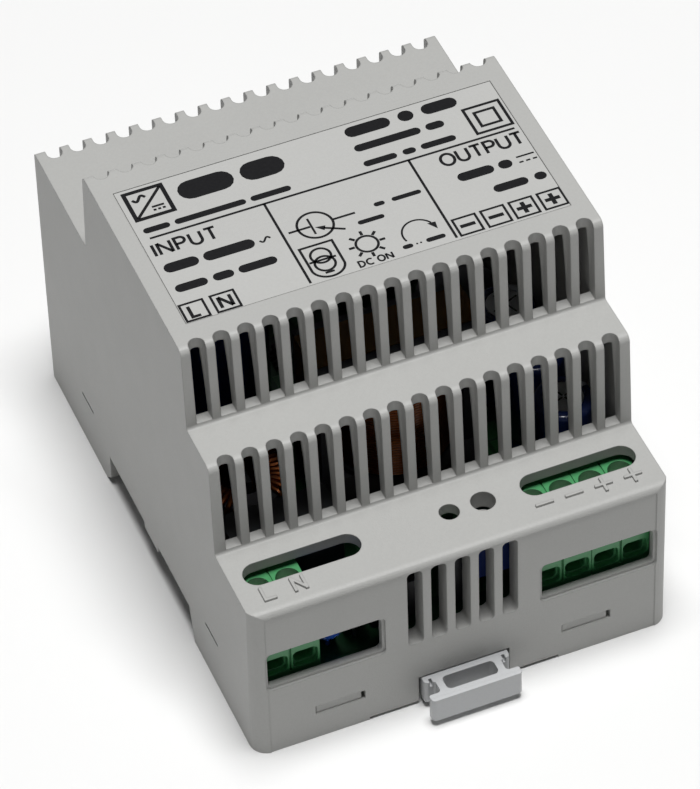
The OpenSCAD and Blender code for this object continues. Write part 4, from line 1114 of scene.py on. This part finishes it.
@dataclass
class BoardParts(Assembly):
    """Small parts under the board: chip resistors and soldered joints."""

    wardrobe: Wardrobe
    chip: tuple[float, float, float] = (2.0, 1.25, 0.55)
    cap_share: float = 0.2
    tin_t: float = 0.02
    row_ys: tuple[float, float] = (-9.5, 10.5)
    row_reach: float = 18.0
    row_pitch: float = 4.5
    lead_r: float = 0.35
    solder_r: float = 1.15
    solder_h: float = 0.75

    def __post_init__(self) -> None:
        """Reads the board's underside."""
        self.under = corners_mm("circuit_board")[0][2]

    def block(self, surface: Surface, low: Sequence[float], high: Sequence[float]) -> None:
        """Adds a box between two corners."""
        (x0, y0, z0), (x1, y1, z1) = low, high
        prism(surface, np.array([(x0, y0), (x1, y0), (x1, y1), (x0, y1)], float), z0, z1)

    def chips(self) -> None:
        """Chip resistors under the board in two rows: dark bodies with tinned ends."""
        bodies, ends = Surface(), Surface()
        length, wide, high = self.chip
        cap, tin = length * self.cap_share, self.tin_t
        top, foot = self.under, self.under - high
        for row_y in self.row_ys:
            near, far = row_y - wide / 2, row_y + wide / 2
            for x in np.arange(-self.row_reach, self.row_reach + 0.1, self.row_pitch):
                left, right = x - length / 2, x + length / 2
                self.block(bodies, (left + cap, near, foot), (right - cap, far, top))
                for x0, x1 in ((left, left + cap), (right - cap, right)):
                    self.block(ends, (x0, near - tin, foot - tin), (x1, far + tin, top))
        self.settle(bodies, "chip_resistor_bodies", Slot.epoxy_package)
        self.settle(ends, "chip_resistor_ends", Slot.contact_metal, TIN)

    def joints(self) -> None:
        """Soldered joints: a concave cone round each lead that comes through the board."""
        t = np.linspace(0, 1, 7)
        radius = self.lead_r + (self.solder_r - self.lead_r) * t**2.2
        cone = np.column_stack([radius, -self.solder_h * (1 - t)])
        profile = np.concatenate([[(0.0, -self.solder_h)], cone])
        joints = Surface()
        for node, offsets in self.leads().items():
            low, high = corners_mm(node)
            mid = (low + high) / 2
            for dx, dy in offsets:
                revolve(joints, profile, (mid[0] + dx, mid[1] + dy, self.under), 20)
        self.settle(joints, "soldered_joints", Slot.contact_metal, TIN)

    @staticmethod
    def leads() -> dict[str, tuple[tuple[float, float], ...]]:
        """Lead places of the capacitors, from the middle of each."""
        pair = ((0.0, -2.5), (0.0, 2.5))
        outputs = {f"output_capacitor_{k}": pair for k in (1, 2, 3)}
        return {"bulk_capacitor": ((-3.75, 0.0), (3.75, 0.0)), **outputs}

    def build(self) -> None:
        """Makes the chips and the joints."""
        self.chips()
        self.joints()


# -------- studio


@dataclass
class Studio:
    """Plain pale floor, soft lights and the camera."""

    floor_z: float = -6.4
    floor_half: float = 4000.0
    lens: float = 231.7
    sensor: float = 36.0
    camera_at: tuple[float, float, float] = (-203.96, -533.66, 599.64)
    camera_turn: tuple[float, float, float] = (44.4144, 1.5411, -22.5022)
    aim: tuple[float, float, float] = (0, 0, 20)

    def camera(self) -> None:
        """Places the camera at its viewpoint."""
        data = bpy.data.cameras.new("camera")
        data.lens, data.sensor_width = self.lens, self.sensor
        data.clip_start, data.clip_end = 0.05, 20.0
        made = bpy.data.objects.new("camera", data)
        bpy.context.scene.collection.objects.link(made)
        made.location = [c * MM for c in self.camera_at]
        made.rotation_euler = [math.radians(a) for a in self.camera_turn]
        bpy.context.scene.camera = made

    def light(self, name: str, at: Sequence[float], size: float, power: float) -> None:
        """Adds a square soft light that faces the object's middle.

        Args:
            name: The light's name.
            at: Its place, in mm.
            size: Its side, in mm.
            power: Its power, in watts.
        """
        data = bpy.data.lights.new(name, "AREA")
        data.shape, data.size, data.energy = "SQUARE", size * MM, power
        made = bpy.data.objects.new(name, data)
        bpy.context.scene.collection.objects.link(made)
        made.location = [c * MM for c in at]
        way = Vector(self.aim) - Vector(at)
        made.rotation_mode = "QUATERNION"
        made.rotation_quaternion = way.to_track_quat("-Z", "Y")

    def floor(self) -> None:
        """Lays the floor: a wide sheet at the height of the feet."""
        corners = np.array([(-1, -1, 0), (1, -1, 0), (1, 1, 0), (-1, 1, 0)]) * self.floor_half
        sheet = Surface()
        sheet.add(corners + (0, 0, self.floor_z), [np.arange(4)])
        plane = sheet.make("floor", smooth=False)
        plane.data.materials.append(FLOOR.dress())

    def build(self) -> None:
        """Sets up the whole studio."""
        self.camera()
        self.floor()
        world = bpy.data.worlds.new("studio")
        world.use_nodes = True
        world.node_tree.nodes["Background"].inputs[0].default_value = (0.95, 0.97, 1.0, 1.0)
        world.node_tree.nodes["Background"].inputs[1].default_value = 0.06
        bpy.context.scene.world = world
        bpy.context.scene.view_settings.view_transform = "Standard"
        self.light("overhead", (30, -90, 1600), 640, 31.0)
        self.light("left_accent", (-700, 200, 1100), 160, 0.07)


def main() -> None:
    """Loads the frame, dresses it and builds each assembly around it."""
    logging.basicConfig(level=logging.INFO, format="%(name)s %(message)s")
    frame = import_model()
    Studio().build()
    wardrobe = Wardrobe()
    wardrobe.dress_frame(frame)
    for assembly in (LabelPrint, LatchSpring, Windings, Capacitors, BoardParts):
        LOG.info("building %s", assembly.__name__)
        assembly(wardrobe).build()


if __name__ == "__main__":
    main()
